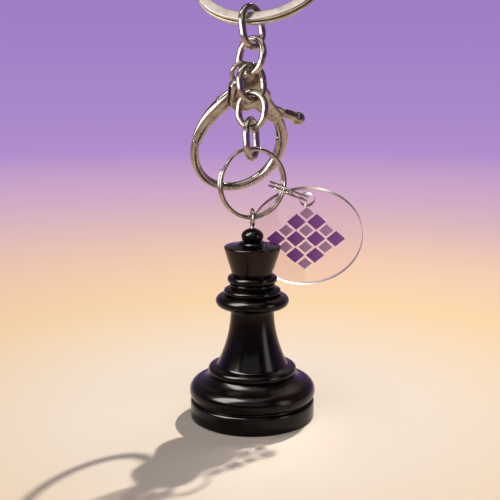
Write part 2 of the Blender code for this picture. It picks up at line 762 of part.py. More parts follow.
def make_charm_ring(parts, link_matrix, link_joint):
    """Make the split ring that hangs on the last link, and return its transform, path and joint."""
    path = split_ring_path(CHARM_RING_PATH, CHARM_RING_WIRE + COIL_GAP, CHARM_RING_STEPS, CHARM_RING_SPLIT)
    seat = bend_point(link_matrix, LAST_LINK_LENGTH, 0)
    matrix = hang(moved(link_matrix, link_path(LAST_LINK_LENGTH)), path, Vector((0, CHARM_RING_PATH, 0)),
                  stand(CHARM_RING_TURN), seat, (LINK_WIRE + CHARM_RING_WIRE) / 2 + REST_GAP)
    joint = joint_empty("charm_ring", seat, link_joint, parts)
    item = wire("charm_ring", path, CHARM_RING_WIRE, 2, parts)
    attach(item, matrix, joint)
    finish(item, NICKEL)
    gap = self_gap(path, CHARM_RING_STEPS, CHARM_RING_WIRE)
    print("charm_ring gap to itself", round(1000 * gap, 3), "mm")
    return matrix, path, joint


def eye_path():
    """Return the centre line of the screw eye about its loop's middle, from the shank's foot up."""
    bend = EYE_NECK_BEND
    drop = math.sqrt(EYE_PATH ** 2 + 2 * EYE_PATH * bend)
    meet = math.atan2(-drop, bend)
    shank = [(0, -drop - EYE_SHANK, 0), (0, -drop - EYE_SHANK / 2, 0)]
    neck = arc((bend, -drop), bend, math.pi, math.pi + meet, 5)
    tail = math.radians(-90) - 2 * math.asin((EYE_WIRE + REST_GAP) / 2 / EYE_PATH) + 2 * math.pi
    loop = arc((0, 0), EYE_PATH, meet, tail, 24)
    return np.concatenate([shank, neck, loop[1:]])


def make_screw_eye(parts, ring_matrix, ring_path, ring_joint):
    """Make the screw eye on the split ring, and return its transform and joint."""
    path = eye_path()
    seat = ring_matrix @ Vector((0, -CHARM_RING_PATH, 0)), ring_matrix.to_3x3() @ Vector((1, 0, 0))
    matrix = hang(moved(ring_matrix, ring_path), path, Vector((0, EYE_PATH, 0)), stand(EYE_TURN), seat,
                  (CHARM_RING_WIRE + EYE_WIRE) / 2 + REST_GAP)
    joint = joint_empty("queen", seat, ring_joint, parts)
    item = wire("screw_eye", path, EYE_WIRE, 2, parts)
    attach(item, matrix, joint)
    finish(item, NICKEL)
    return matrix, joint


def bulge(radius, low, high, sink, count):
    """Return a half-round moulding, from its top to its foot: the radius falls by sink at both ends."""
    angles = np.linspace(math.pi / 2, -math.pi / 2, count)
    middle = (low + high) / 2
    half = (high - low) / 2
    return [(radius - sink + sink * math.cos(angle), middle + half * math.sin(angle)) for angle in angles]


def queen_profile(bore_depth):
    """Return the queen's outline as radius and height, from the bore's foot out and down to the base."""
    bore = EYE_WIRE / 2 + REST_GAP
    ball = FINIAL_DIAMETER / 2
    ball_middle = QUEEN_HEIGHT - ball
    finial = [(ball * math.cos(angle), ball_middle + ball * math.sin(angle))
              for angle in np.linspace(math.acos(bore / ball), FINIAL_FOOT_ANGLE, 8)]
    finial_foot = finial[-1][1]
    collar_foot = finial_foot - FINIAL_COLLAR_THICKNESS
    finial_collar = bulge(FINIAL_COLLAR_DIAMETER / 2, collar_foot, finial_foot, FINIAL_COLLAR_SINK, 5)
    crown = [(FINIAL_COLLAR_DIAMETER / 2, collar_foot),
             (CROWN_DIAMETER / 2 - EDGE_ROUND, CROWN_HEIGHT),
             (CROWN_DIAMETER / 2, CROWN_HEIGHT - EDGE_ROUND),
             (CROWN_FOOT_DIAMETER / 2, BEAD_HEIGHT)]
    bead = bulge(BEAD_DIAMETER / 2, BEAD_HEIGHT - BEAD_THICKNESS, BEAD_HEIGHT, BEAD_SINK, 6)
    flange = [(CROWN_FOOT_DIAMETER / 2 + EDGE_ROUND, FLANGE_HEIGHT),
              (FLANGE_DIAMETER / 2 - 3 * EDGE_ROUND, FLANGE_HEIGHT - EDGE_ROUND),
              (FLANGE_DIAMETER / 2, FLANGE_HEIGHT - 3 * EDGE_ROUND),
              (FLANGE_DIAMETER / 2 - EDGE_ROUND, COLLAR_HEIGHT + EDGE_ROUND / 2),
              (FLANGE_DIAMETER / 2 - EDGE_ROUND, COLLAR_HEIGHT)]
    collar = bulge(COLLAR_DIAMETER / 2, STEM_HEIGHT + EDGE_ROUND, COLLAR_HEIGHT, COLLAR_SINK, 9)
    neck = STEM_NECK_DIAMETER / 2
    fillet = [(neck + EDGE_ROUND, STEM_HEIGHT + EDGE_ROUND), (neck + EDGE_ROUND, STEM_HEIGHT)]
    spread = STEM_FOOT_DIAMETER / 2 - neck
    stem = [(neck + spread * share * share, STEM_HEIGHT + (ASTRAGAL_HEIGHT - STEM_HEIGHT) * share)
            for share in np.linspace(STEM_START, 1, 9)]
    ring = ASTRAGAL_DIAMETER / 2
    astragal = [(ring - 3 * EDGE_ROUND, ASTRAGAL_HEIGHT),
                *bulge(ring, BELL_HEIGHT + EDGE_ROUND, ASTRAGAL_HEIGHT - EDGE_ROUND, 2 * EDGE_ROUND, 6)]
    bell = [(ring, BELL_HEIGHT),
            *((ring + out, BELL_HEIGHT - fall) for out, fall in BELL_SHOULDER),
            *bulge(BELL_DIAMETER / 2, PLINTH_HEIGHT + EDGE_ROUND, BELL_RIM_TOP, BELL_SINK, 7)]
    plinth_radius = PLINTH_DIAMETER / 2
    plinth = [(plinth_radius - 2 * EDGE_ROUND, PLINTH_HEIGHT),
              (plinth_radius - EDGE_ROUND, PLINTH_HEIGHT),
              (plinth_radius, PLINTH_HEIGHT - EDGE_ROUND),
              (plinth_radius, EDGE_ROUND),
              (plinth_radius - EDGE_ROUND, 0)]
    hole = [(0, QUEEN_HEIGHT - bore_depth), (bore, QUEEN_HEIGHT - bore_depth)]
    upper = [*hole, *finial, *finial_collar, *crown, *bead, *flange]
    return [*upper, *collar, *fillet, *stem, *astragal, *bell, *plinth, (0, 0)]


def make_queen(parts, eye_matrix, joint):
    """Turn the queen and set it under the screw eye."""
    bend_drop = math.sqrt(EYE_PATH ** 2 + 2 * EYE_PATH * EYE_NECK_BEND)
    finial_drop = EYE_PATH + EYE_WIRE / 2 + REST_GAP
    bore_depth = bend_drop + EYE_SHANK + REST_GAP - finial_drop
    profile = queen_profile(bore_depth)
    data = bpy.data.meshes.new("queen")
    data.from_pydata([(radius, 0, height) for radius, height in profile],
                     [(index, index + 1) for index in range(len(profile) - 1)], [])
    item = bpy.data.objects.new("queen", data)
    parts.objects.link(item)
    turning = item.modifiers.new("turning", "SCREW")
    turning.steps = QUEEN_STEPS
    turning.render_steps = QUEEN_STEPS
    turning.use_merge_vertices = True
    turning.merge_threshold = WELD
    turning.use_smooth_shade = True
    item.data.materials.append(material(LACQUER))
    foot = eye_matrix.translation - UP * (finial_drop + QUEEN_HEIGHT)
    attach(item, Matrix.Translation(foot), joint)


def make_tag(parts, ring_matrix, ring_joint):
    """Make the tag ring round the split ring's wire, and the clear disc that hangs in it."""
    crossing = Vector((math.cos(TAG_CROSSING), math.sin(TAG_CROSSING), 0)) * CHARM_RING_PATH
    along = Vector((-math.sin(TAG_CROSSING), math.cos(TAG_CROSSING), 0))
    point = ring_matrix @ crossing
    bundle = CHARM_RING_WIRE + COIL_GAP / 2
    depth = TAG_RING_PATH - TAG_RING_WIRE / 2 - bundle - 2 * REST_GAP
    slope = Matrix.Rotation(-TAG_RING_SLOPE, 4, "Y") @ Matrix.Rotation(TAG_RING_TILT, 4, "X")
    centre = point + Vector((0, depth, 0)) + slope.to_3x3() @ Vector((TAG_RING_SIDE, 0, 0))
    matrix = Matrix.Translation(centre) @ slope
    path = split_ring_path(TAG_RING_PATH, TAG_RING_WIRE + COIL_GAP, TAG_RING_STEPS, TAG_RING_SPLIT)
    joint = joint_empty("tag_ring", (point, ring_matrix.to_3x3() @ along), ring_joint, parts)
    item = wire("tag_ring", path, TAG_RING_WIRE, 1, parts)
    attach(item, matrix, joint)
    finish(item, NICKEL)
    gap = self_gap(path, TAG_RING_STEPS, TAG_RING_WIRE)
    print("tag_ring gap to itself", round(1000 * gap, 3), "mm")
    hinge = matrix @ Vector((TAG_RING_PATH, 0, 0))
    disc_joint = joint_empty("tag_disc", (hinge, matrix.to_3x3() @ Vector((0, 1, 0))), joint, parts)
    make_disc(parts, hinge, disc_joint)


def make_disc(parts, hinge, joint):
    """Make the clear disc, hung by its hole."""
    hole = TAG_HOLE_DIAMETER / 2
    bundle_half = TAG_RING_WIRE + COIL_GAP / 2
    slant = TAG_DISC_THICKNESS / 2 * math.tan(abs(TAG_DISC_LEAN + TAG_RING_TILT))
    drop = hole - bundle_half - slant - 2 * REST_GAP
    reach = TAG_DISC_DIAMETER / 2 - TAG_HOLE_EDGE - hole
    data = bpy.data.curves.new("tag_disc", "CURVE")
    data.dimensions = "2D"
    data.fill_mode = "BOTH"
    data.extrude = TAG_DISC_THICKNESS / 2
    for radius, middle, count in ((TAG_DISC_DIAMETER / 2, -drop - reach, 64), (hole, -drop, 20)):
        spline = data.splines.new("POLY")
        ring = arc((0, middle), radius, 0, 2 * math.pi, count + 1)[:-1]
        spline.points.add(count - 1)
        for spot, place in zip(spline.points, ring):
            spot.co = (*place, 1)
        spline.use_cyclic_u = True
    item = bpy.data.objects.new("tag_disc", data)
    parts.objects.link(item)
    item = to_mesh(item)
    attach(item, Matrix.Translation(hinge) @ stand(0, TAG_DISC_LEAN), joint)
    finish(item, ACRYLIC)


def main():
    """Build the key chain from the key ring down."""
    clear_scene()
    parts = new_collection("queen_key_chain")
    guides = new_collection("guides")
    ring, ring_matrix, ring_edges = make_key_ring(parts, guides)
    links, link_joints = make_links(parts, ring, ring_matrix, ring_edges)
    make_clasp(parts, guides, links[1], link_joints[1])
    charm_matrix, charm_path, charm_joint = make_charm_ring(parts, links[-1], link_joints[-1])
    eye_matrix, queen_joint = make_screw_eye(parts, charm_matrix, charm_path, charm_joint)
    make_queen(parts, eye_matrix, queen_joint)
    make_tag(parts, charm_matrix, charm_joint)


main()
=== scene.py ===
"""Dress the queen key chain: fine meshes, plated metal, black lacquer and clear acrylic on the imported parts.

Sizes are in millimetres and angles in degrees, and each is turned to metres or radians where it is used.
A flat piece is drawn in its own XY plane, with Z towards the front, and is then stood up at its place.
"""

import logging
import math
from dataclasses import dataclass, field
from enum import Enum

import bpy
import numpy as np
from mathutils import Matrix, Vector

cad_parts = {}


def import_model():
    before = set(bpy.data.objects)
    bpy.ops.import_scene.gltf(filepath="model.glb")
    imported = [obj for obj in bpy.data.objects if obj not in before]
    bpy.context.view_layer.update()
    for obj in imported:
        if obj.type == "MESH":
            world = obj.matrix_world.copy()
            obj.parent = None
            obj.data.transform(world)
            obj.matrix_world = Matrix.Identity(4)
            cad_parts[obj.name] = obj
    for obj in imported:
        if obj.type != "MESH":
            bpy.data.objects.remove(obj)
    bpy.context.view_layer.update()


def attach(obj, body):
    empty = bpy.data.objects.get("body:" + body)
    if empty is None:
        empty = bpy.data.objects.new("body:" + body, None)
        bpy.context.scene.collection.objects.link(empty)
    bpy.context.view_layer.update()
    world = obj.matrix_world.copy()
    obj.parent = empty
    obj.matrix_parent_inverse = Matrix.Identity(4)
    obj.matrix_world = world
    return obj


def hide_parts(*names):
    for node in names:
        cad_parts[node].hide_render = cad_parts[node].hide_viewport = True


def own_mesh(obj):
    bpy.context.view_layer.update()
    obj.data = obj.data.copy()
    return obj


LOG = logging.getLogger("queen_key_chain")
MM = 0.001
WELD = 0.000002
SMOOTH_ANGLE = math.radians(42)
GRAIN = "grain"
GRAIN_STRETCH = 0.04
Piece = bpy.types.Object
Tree = bpy.types.NodeTree
Node = bpy.types.Node
Place = tuple[float, float, float]
Profile = list[tuple[float, float]]


class Slot(str, Enum):
    """The record's material slots."""

    NICKEL = "nickel_plate"
    STEEL = "polished_steel"
    SPRING = "spring_steel"
    LACQUER = "black_lacquer"
    ACRYLIC = "clear_acrylic"


class Weave(Enum):
    """How the fine lines of a metal run."""

    DRAWN = "along the wire"
    TUMBLED = "every way"


def hex_linear(code: str) -> tuple[float, float, float, float]:
    """Turn an sRGB hex colour to linear.

    Args:
        code: Six hex digits after a hash.

    Returns:
        Linear red, green and blue, and a full alpha.
    """
    shares = [int(code[place:place + 2], 16) / 255 for place in (1, 3, 5)]
    linear = [s / 12.92 if s <= 0.04045 else ((s + 0.055) / 1.055) ** 2.4 for s in shares]
    return (*linear, 1.0)


def feed(node: Node, inputs: dict) -> None:
    """Set a node's inputs.

    Args:
        node: The node.
        inputs: Input name or number to a value, to the output that feeds it, or to a node whose first output does.
    """
    for name, value in inputs.items():
        source = value.outputs[0] if isinstance(value, Node) else value
        if isinstance(source, bpy.types.NodeSocket):
            node.id_data.links.new(source, node.inputs[name])
        else:
            node.inputs[name].default_value = source


def add_node(tree: Tree, kind: str, inputs: dict | None = None, stops: tuple = (), **settings: object) -> Node:
    """Add a node with its settings and links.

    Args:
        tree: The node tree that gets the node.
        kind: The node's type name, after ShaderNode.
        inputs: What its inputs are set to or fed by.
        stops: Position and hex colour of each stop, on a colour ramp.
        settings: The node's own properties.

    Returns:
        The new node.
    """
    node = tree.nodes.new(f"ShaderNode{kind}")
    for name, value in settings.items():
        setattr(node, name, value)
    feed(node, inputs or {})
    if stops:
        elements = node.color_ramp.elements
        while len(elements) < len(stops):
            elements.new(0.5)
        for element, (position, code) in zip(elements, stops):
            element.position = position
            element.color = hex_linear(code)
    return node


def per_mm(size: float) -> float:
    """Return the texture scale at which a pattern repeats every so many millimetres."""
    return 1 / (size * MM)


@dataclass(frozen=True)
class Finish:
    """A surface finish, with the tone, roughness and name that its material gets."""

    name: str
    tone: str
    roughness: float

    def material(self) -> bpy.types.Material:
        """Return this finish's material, made once."""
        found = bpy.data.materials.get(self.name)
        if found:
            return found
        made = bpy.data.materials.new(self.name)
        made.use_nodes = True
        shader = made.node_tree.nodes["Principled BSDF"]
        feed(shader, {"Base Color": hex_linear(self.tone), "Roughness": self.roughness})
        self.dress(made.node_tree, shader)
        return made

    def dress(self, tree: Tree, shader: Node) -> None:
        """Add this finish's own nodes.

        Args:
            tree: The material's node tree.
            shader: Its Principled shader.
        """


@dataclass(frozen=True)
class PlatedMetal(Finish):
    """Bright plated or polished metal: sharp reflections, broken by faint lines and cloudy handling marks.

    Real drawing lines are some hundredths of a millimetre wide. They are drawn coarser here, so that they show.
    """

    dull_tone: str = "#8f867b"
    weave: Weave = Weave.DRAWN
    line_width: float = 0.22
    cloud_size: float = 2.6
    line_depth: float = 0.012

    def dress(self, tree: Tree, shader: Node) -> None:
        """Add the lines left by drawing or tumbling, and the clouding of the plating."""
        place = add_node(tree, "TexCoord").outputs["Object"]
        grain = place
        if self.weave is Weave.DRAWN:
            grain = add_node(tree, "Attribute", attribute_name=GRAIN).outputs["Vector"]
        lines = add_node(tree, "TexNoise",
                         {"Vector": grain, "Scale": per_mm(self.line_width), "Detail": 3.0, "Roughness": 0.6})
        clouds = add_node(tree, "TexNoise",
                          {"Vector": place, "Scale": per_mm(self.cloud_size), "Detail": 5.0, "Roughness": 0.62})
        tone = add_node(tree, "ValToRGB", {"Fac": clouds}, ((0.30, self.dull_tone), (0.58, self.tone)))
        dull = add_node(tree, "MapRange",
                        {"Value": clouds, "From Min": 0.3, "From Max": 0.7, "To Min": self.roughness + 0.08,
                         "To Max": self.roughness - 0.03})
        scratch = add_node(tree, "MapRange",
                           {"Value": lines, "From Min": 0.3, "From Max": 0.75, "To Min": -0.03, "To Max": 0.07})
        rough = add_node(tree, "Math", {0: dull, 1: scratch}, operation="ADD")
        bump = add_node(tree, "Bump", {"Height": lines, "Strength": 0.35, "Distance": self.line_depth * MM})
        feed(shader, {"Metallic": 1.0, "Base Color": tone, "Roughness": rough, "Normal": bump})


@dataclass(frozen=True)
class Lacquer(Finish):
    """Black lacquer on turned wood: deep gloss, with lathe rings and a trace of grain in its highlights.

    Real lathe rings are finer than this pitch, which is as coarse as they need to be to show.
    """

    worn_tone: str = "#1d110c"
    # The brown tone and the crown band below paint a warm reflection of the floor on the crown.
    fleck_and_sheen_tone: str = "#2a110a"
    crown_sheen_band: tuple[float, float] = (-85.57, -78.07)
    crown_sheen_fade: float = 0.4
    wear_size: float = 6.0
    ring_pitch: float = 0.42
    ring_stretch: float = 0.02
    grain_width: float = 0.30
    grain_length: float = 9.0
    ring_depth: float = 0.010
    grain_depth: float = 0.012
    bump_share: float = 0.45
    gloss: float = 0.27
    ior: float = 1.40

    def dress(self, tree: Tree, shader: Node) -> None:
        """Add the lathe rings, the grain under the lacquer, the worn patches and a painted warm reflection of the
        floor, in brown on the crown.
        """
        place = add_node(tree, "TexCoord").outputs["Object"]
        shift = add_node(tree, "TexNoise", {"Vector": place, "Scale": per_mm(self.wear_size), "Detail": 2.0})
        rings_at = add_node(tree, "Mapping",
                            {"Vector": place, "Scale": (self.ring_stretch, self.ring_stretch, 1.0)})
        rings = add_node(tree, "TexNoise",
                         {"Vector": rings_at, "Scale": per_mm(self.ring_pitch), "Detail": 2.5, "Roughness": 0.7})
        grain_at = add_node(tree, "Mapping",
                            {"Vector": place, "Scale": (1.0, 1.0, self.grain_width / self.grain_length)})
        grain = add_node(tree, "TexNoise",
                         {"Vector": grain_at, "Scale": per_mm(self.grain_width), "Detail": 3.0, "Roughness": 0.55})
        ring_bump = add_node(tree, "Bump",
                             {"Height": rings, "Strength": self.bump_share, "Distance": self.ring_depth * MM})
        bump = add_node(tree, "Bump", {"Height": grain, "Strength": self.bump_share,
                                       "Distance": self.grain_depth * MM, "Normal": ring_bump})
        tone = add_node(tree, "ValToRGB", {"Fac": shift}, ((0.42, self.tone), (0.80, self.worn_tone)))
        rough = add_node(tree, "MapRange",
                         {"Value": shift, "From Min": 0.3, "From Max": 0.7, "To Min": self.roughness - 0.04,
                          "To Max": self.roughness + 0.06})
        # Painted reflection: a band over the crown, broken up by the grain, is mixed towards warm brown, standing in
        # for the floor's warm light.
        height = add_node(tree, "SeparateXYZ", {"Vector": place}).outputs["Z"]
        low, high = (edge * MM for edge in self.crown_sheen_band)
        half = (high - low) / 2
        middle = add_node(tree, "Math", {0: height, 1: -(low + high) / 2}, operation="ADD")
        off = add_node(tree, "Math", {0: middle}, operation="ABSOLUTE")
        band = add_node(tree, "MapRange",
                        {"Value": off, "From Min": half, "From Max": half - self.crown_sheen_fade * MM})
        # This grain mask breaks up the painted reflection on the crown.
        thin = add_node(tree, "MapRange", {"Value": grain, "From Min": 0.35, "From Max": 0.65})
        crown = add_node(tree, "Math", {0: band, 1: thin}, operation="MULTIPLY")
        brown = add_node(tree, "Mix", {"Factor": crown, "A": tone, "B": hex_linear(self.fleck_and_sheen_tone)},
                         data_type="RGBA")
        feed(shader, {"Specular IOR Level": self.gloss, "IOR": self.ior, "Base Color": brown.outputs["Result"],
                      "Roughness": rough, "Normal": bump})


@dataclass(frozen=True)
class Acrylic(Finish):
    """Cast acrylic sheet, laser cut: clear as glass, with a few hairline scuffs, drawn wide enough to show."""

    clearness: float = 1.0
    scuff_width: float = 0.35
    scuff_length: float = 7.0
    scuff_turn: Place = (0.5, 0.9, 0.3)
    ior: float = 1.49

    def dress(self, tree: Tree, shader: Node) -> None:
        """Let light through, and add the scuffs."""
        place = add_node(tree, "TexCoord").outputs["Object"]
        turned_to = add_node(tree, "Mapping", {"Vector": place, "Rotation": self.scuff_turn,
                                               "Scale": (1.0, self.scuff_width / self.scuff_length, 1.0)})
        scuffs = add_node(tree, "TexNoise",
                          {"Vector": turned_to, "Scale": per_mm(self.scuff_width), "Detail": 2.0})
        rough = add_node(tree, "MapRange", {"Value": scuffs, "From Min": 0.62, "From Max": 0.8,
                                            "To Min": self.roughness, "To Max": self.roughness + 0.08})
        feed(shader, {"Transmission Weight": self.clearness, "IOR": self.ior, "Roughness": rough})


@dataclass(frozen=True)
class Ink(Finish):
    """Flat printing ink: even colour with a slight speckle where the coat is thin."""

    fleck_and_sheen_tone: str = "#8a63a6"
    speckle: float = 0.25

    def dress(self, tree: Tree, shader: Node) -> None:
        """Add the speckle of the print."""
        place = add_node(tree, "TexCoord").outputs["Object"]
        dots = add_node(tree, "TexNoise", {"Vector": place, "Scale": per_mm(self.speckle), "Detail": 3.0})
        feed(shader, {"Base Color": add_node(tree, "ValToRGB", {"Fac": dots},
                                             ((0.35, self.tone), (0.85, self.fleck_and_sheen_tone)))})


@dataclass(frozen=True)
class PaperSweep(Finish):
    """The stage: pale matt paper that fades outwards to peach and lilac, and glows with painted light, strongest at
    the back.
    """

    fades: tuple[tuple[float, str], ...] = (
        (0.0, "#ebe3d6"), (0.05, "#ebd3ad"), (0.115, "#e6c4b2"), (0.23, "#d3acc6"), (0.45, "#b28fcd"),
        (0.8, "#9a7cc4"), (1.0, "#857a7e"))
    near: float = 45.0
    far: float = 1500.0
    lit_from: float = 70.0
    lit_full: float = 320.0
    dim_from: float = -0.4
    dim_to: float = 0.8
    front_share: float = 0.3

    def dress(self, tree: Tree, shader: Node) -> None:
        """Add the fade, which counts out along the floor and up the wall, and the wall's painted glow."""
        place = add_node(tree, "TexCoord").outputs["Object"]
        ways = add_node(tree, "SeparateXYZ", {"Vector": place}).outputs
        level = add_node(tree, "CombineXYZ", {"X": ways["X"], "Y": ways["Y"]})
        out = add_node(tree, "VectorMath", {0: level}, operation="LENGTH").outputs["Value"]
        run = add_node(tree, "Math", {0: out, 1: ways["Z"]}, operation="ADD")
        back = add_node(tree, "Math", {0: ways["Y"], 1: out}, operation="DIVIDE")
        # Painted light: the glow is strongest at the back of the sweep and falls to a share of that at the front.
        strength = add_node(tree, "MapRange",
                            {"Value": back, "From Min": self.dim_from, "From Max": self.dim_to,
                             "To Min": self.front_share}, interpolation_type="SMOOTHSTEP")
        share = add_node(tree, "MapRange",
                         {"Value": run, "From Min": self.near * MM, "From Max": self.far * MM})
        tone = add_node(tree, "ValToRGB", {"Fac": share}, self.fades)
        # Painted light: the glow fades in from the floor under the object up to the wall, and shows to camera, gloss
        # and transmission rays.
        lit = add_node(tree, "MapRange",
                       {"Value": run, "From Min": self.lit_from * MM, "From Max": self.lit_full * MM},
                       interpolation_type="SMOOTHSTEP")
        rays = add_node(tree, "LightPath").outputs
        seen = rays["Is Camera Ray"]
        for ray in ("Is Glossy Ray", "Is Transmission Ray"):
            seen = add_node(tree, "Math", {0: seen, 1: rays[ray]}, operation="MAXIMUM")
        seen = add_node(tree, "Math", {0: seen, 1: lit}, operation="MULTIPLY")
        glow = add_node(tree, "Emission", {"Color": tone, "Strength": strength})
        feed(shader, {"Base Color": tone})
        feed(tree.nodes["Material Output"],
             {"Surface": add_node(tree, "MixShader", {"Fac": seen, 1: shader, 2: glow})})


# Nickel on drawn wire: warm grey and bright, with lines along the wire.
NICKEL = PlatedMetal("nickel_plate_drawn", "#bab1a8", 0.17, dull_tone="#8b8279")
# Nickel on a tumbled casting: the same metal, a little darker, with soft marks every way.
CAST_NICKEL = PlatedMetal("nickel_plate_cast", "#ada49b", 0.17, dull_tone="#8d847c", weave=Weave.TUMBLED,
                          line_width=0.8, line_depth=0.0015)
# Polished flat spring steel: pale, with broad soft reflections.
STEEL = PlatedMetal("polished_spring_steel", "#cdc6be", 0.34, dull_tone="#b4aca3")
# Blued spring wire: darker and duller than the plating.
COIL_STEEL = PlatedMetal("blued_spring_steel", "#8f8c89", 0.28)
# Lacquer over dyed wood: black, with a painted warm reflection of the floor in brown on the crown.
LACQUER = Lacquer("black_lacquer_on_wood", "#050304", 0.18)
# Cast acrylic sheet: clear, with the faintest mauve.
ACRYLIC = Acrylic("clear_cast_acrylic", "#fbf3f9", 0.03)
# The laser's cut: frosted, so that the rim is a thin grey line.
ACRYLIC_EDGE = Acrylic("cut_acrylic_edge", "#aea3b0", 0.45, clearness=0.96)
# Printed ink: satin and even, in a deep and a pale purple.
DEEP_INK = Ink("purple_print", "#8a3fb8", 0.45)
PALE_INK = Ink("mauve_print", "#b793c9", 0.5, fleck_and_sheen_tone="#c4a9d0")
# Matt background paper: pale and even under the object, with no shine.
PAPER = PaperSweep("pale_paper_sweep", "#ece5da", 0.9)


def spin(angle: float, axis: str) -> Matrix:
    """Return a rotation by degrees about an axis."""
    return Matrix.Rotation(math.radians(angle), 4, axis)


def stand(turn: float, lean: float = 0.0) -> Matrix:
    """Return the rotation that stands a flat piece up, turned about the vertical and with its top leant back."""
    return spin(turn, "Z") @ spin(-lean, "X") @ spin(90, "X")


def at(place: Place, pose: Matrix) -> Matrix:
    """Return a transform from a place in millimetres and a rotation."""
    return Matrix.Translation(Vector(place) * MM) @ pose


def deselect() -> None:
    """Leave edit mode and deselect everything."""
    if bpy.context.object and bpy.context.object.mode != "OBJECT":
        bpy.ops.object.mode_set(mode="OBJECT")
    bpy.ops.object.select_all(action="DESELECT")


def activate(piece: Piece) -> None:
    """Select one object alone and make it active."""
    deselect()
    piece.select_set(True)
    bpy.context.view_layer.objects.active = piece


def settle() -> None:
    """Put the selected object's place, turn and size into its mesh."""
    bpy.ops.object.transform_apply(location=True, rotation=True, scale=True)


def modify(piece: Piece, kind: str, **settings: object) -> None:
    """Add a modifier to a piece and apply it.

    Args:
        piece: The mesh object.
        kind: The modifier's type name.
        settings: The modifier's properties.
    """
    activate(piece)
    bpy.ops.object.modifier_add(type=kind)
    step = piece.modifiers[-1]
    for name, value in settings.items():
        setattr(step, name, value)
    bpy.ops.object.modifier_apply(modifier=step.name)


def clean(piece: Piece) -> None:
    """Merge a mesh's doubles and turn its faces outwards."""
    activate(piece)
    bpy.ops.object.mode_set(mode="EDIT")
    bpy.ops.mesh.select_all(action="SELECT")
    bpy.ops.mesh.remove_doubles(threshold=WELD)
    bpy.ops.mesh.normals_make_consistent(inside=False)
    bpy.ops.object.mode_set(mode="OBJECT")


def join(pieces: list[Piece], name: str) -> Piece:
    """Join several meshes into the first one.

    Args:
        pieces: The objects to join.
        name: The name of what they become.

    Returns:
        The joined object.
    """
    activate(pieces[0])
    for piece in pieces[1:]:
        piece.select_set(True)
    bpy.ops.object.join()
    joined = bpy.context.object
    joined.name = name
    return joined


def cut(piece: Piece, cutters: list[Piece]) -> None:
    """Cut a mesh with several others, and remove these."""
    for cutter in cutters:
        modify(piece, "BOOLEAN", operation="DIFFERENCE", solver="EXACT", object=cutter)
        bpy.data.objects.remove(cutter)


def cast(piece: Piece, grid: float, rounds: int) -> None:
    """Fuse a mesh's shells into one skin on a grid in millimetres, and smooth it as a casting is smooth."""
    modify(piece, "REMESH", mode="VOXEL", voxel_size=grid * MM)
    modify(piece, "SMOOTH", factor=0.5, iterations=rounds)


def lit_group(kind: type[Finish]) -> bpy.types.Collection:
    """Return the collection of the pieces with this kind of finish, made at first use."""
    return bpy.data.collections.get(kind.__name__) or bpy.data.collections.new(kind.__name__)


@dataclass(frozen=True)
class Fitting:
    """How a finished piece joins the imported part."""

    body: str
    nodes: tuple[str, ...]
    slot: Slot
    finish: Finish

    def fit(self, piece: Piece, matrix: Matrix) -> Piece:
        """Put a piece in its place, dress it and hang it on its body.

        Args:
            piece: The mesh, in its own frame.
            matrix: Its place.

        Returns:
            The same object.
        """
        activate(piece)
        piece.matrix_world = matrix
        settle()
        bpy.ops.object.shade_smooth_by_angle(angle=SMOOTH_ANGLE)
        piece.data.materials.clear()
        piece.data.materials.append(self.finish.material())
        lit_group(type(self.finish)).objects.link(piece)
        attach(piece, self.body)
        if self.nodes:
            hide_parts(*self.nodes)
        LOG.info("%s: %d faces on %s", piece.name, len(piece.data.polygons), self.body)
        return piece


def arc(centre: tuple[float, float], radius: float, start: float, stop: float, count: int) -> list[Vector]:
    """Return points on a circle in the XY plane, ends included.

    Args:
        centre: The circle's middle.
        radius: Its radius.
        start: First angle in degrees.
        stop: Last angle in degrees.
        count: How many points.

    Returns:
        The points, in the units of the radius.
    """
    angles = np.radians(np.linspace(start, stop, count))
    return [Vector((centre[0] + radius * math.cos(a), centre[1] + radius * math.sin(a), 0)) for a in angles]


def bent(start: Vector, knee: Vector, end: Vector, shares: np.ndarray) -> list[Vector]:
    """Return points, at shares of the way, on a curve from start to end that is drawn towards a knee."""
    return [start * (1 - t) ** 2 + knee * 2 * t * (1 - t) + end * t ** 2 for t in shares]


def chamfered(path: list[Vector], radii: list[float], share: float = 0.22) -> tuple[list[Vector], list[float]]:
    """Give a wire's two cut ends a small chamfer.

    Args:
        path: The wire's centre line.
        radii: The wire's radius at each point.
        share: The chamfer's part of the radius.

    Returns:
        The centre line with two more points, and the radius at each point.
    """
    first = path[0] + (path[1] - path[0]).normalized() * share * radii[0]
    last = path[-1] + (path[-2] - path[-1]).normalized() * share * radii[-1]
    points = [path[0], first, *path[1:-1], last, path[-1]]
    return points, [(1 - share) * radii[0], radii[0], *radii[1:-1], radii[-1], (1 - share) * radii[-1]]


def mark_grain(piece: Piece, path: list[Vector]) -> None:
    """Keep, at each point of a swept mesh, its place across and along the sweep, for lines that follow it.

    Args:
        piece: The mesh, in its own frame in metres.
        path: The sweep's centre line in millimetres.
    """
    spots = np.array([list(p) for p in path]) * MM
    steps = np.linalg.norm(np.diff(spots, axis=0), axis=1)
    along = np.concatenate([[0], np.cumsum(steps)])
    ways = np.gradient(spots, axis=0)
    ways /= np.linalg.norm(ways, axis=1)[:, None]
    side = np.cross(ways, (0, 0, 1))
    side /= np.maximum(np.linalg.norm(side, axis=1), 1e-9)[:, None]
    rise = np.cross(side, ways)
    skin = np.array([list(v.co) for v in piece.data.vertices])
    near = np.array([np.argmin(((spots - p) ** 2).sum(axis=1)) for p in skin])
    off = skin - spots[near]
    values = np.stack([(off * side[near]).sum(axis=1), (off * rise[near]).sum(axis=1),
                       along[near] * GRAIN_STRETCH], axis=1)
    layer = piece.data.attributes.new(GRAIN, "FLOAT_VECTOR", "POINT")
    layer.data.foreach_set("vector", values.astype(np.float32).ravel())


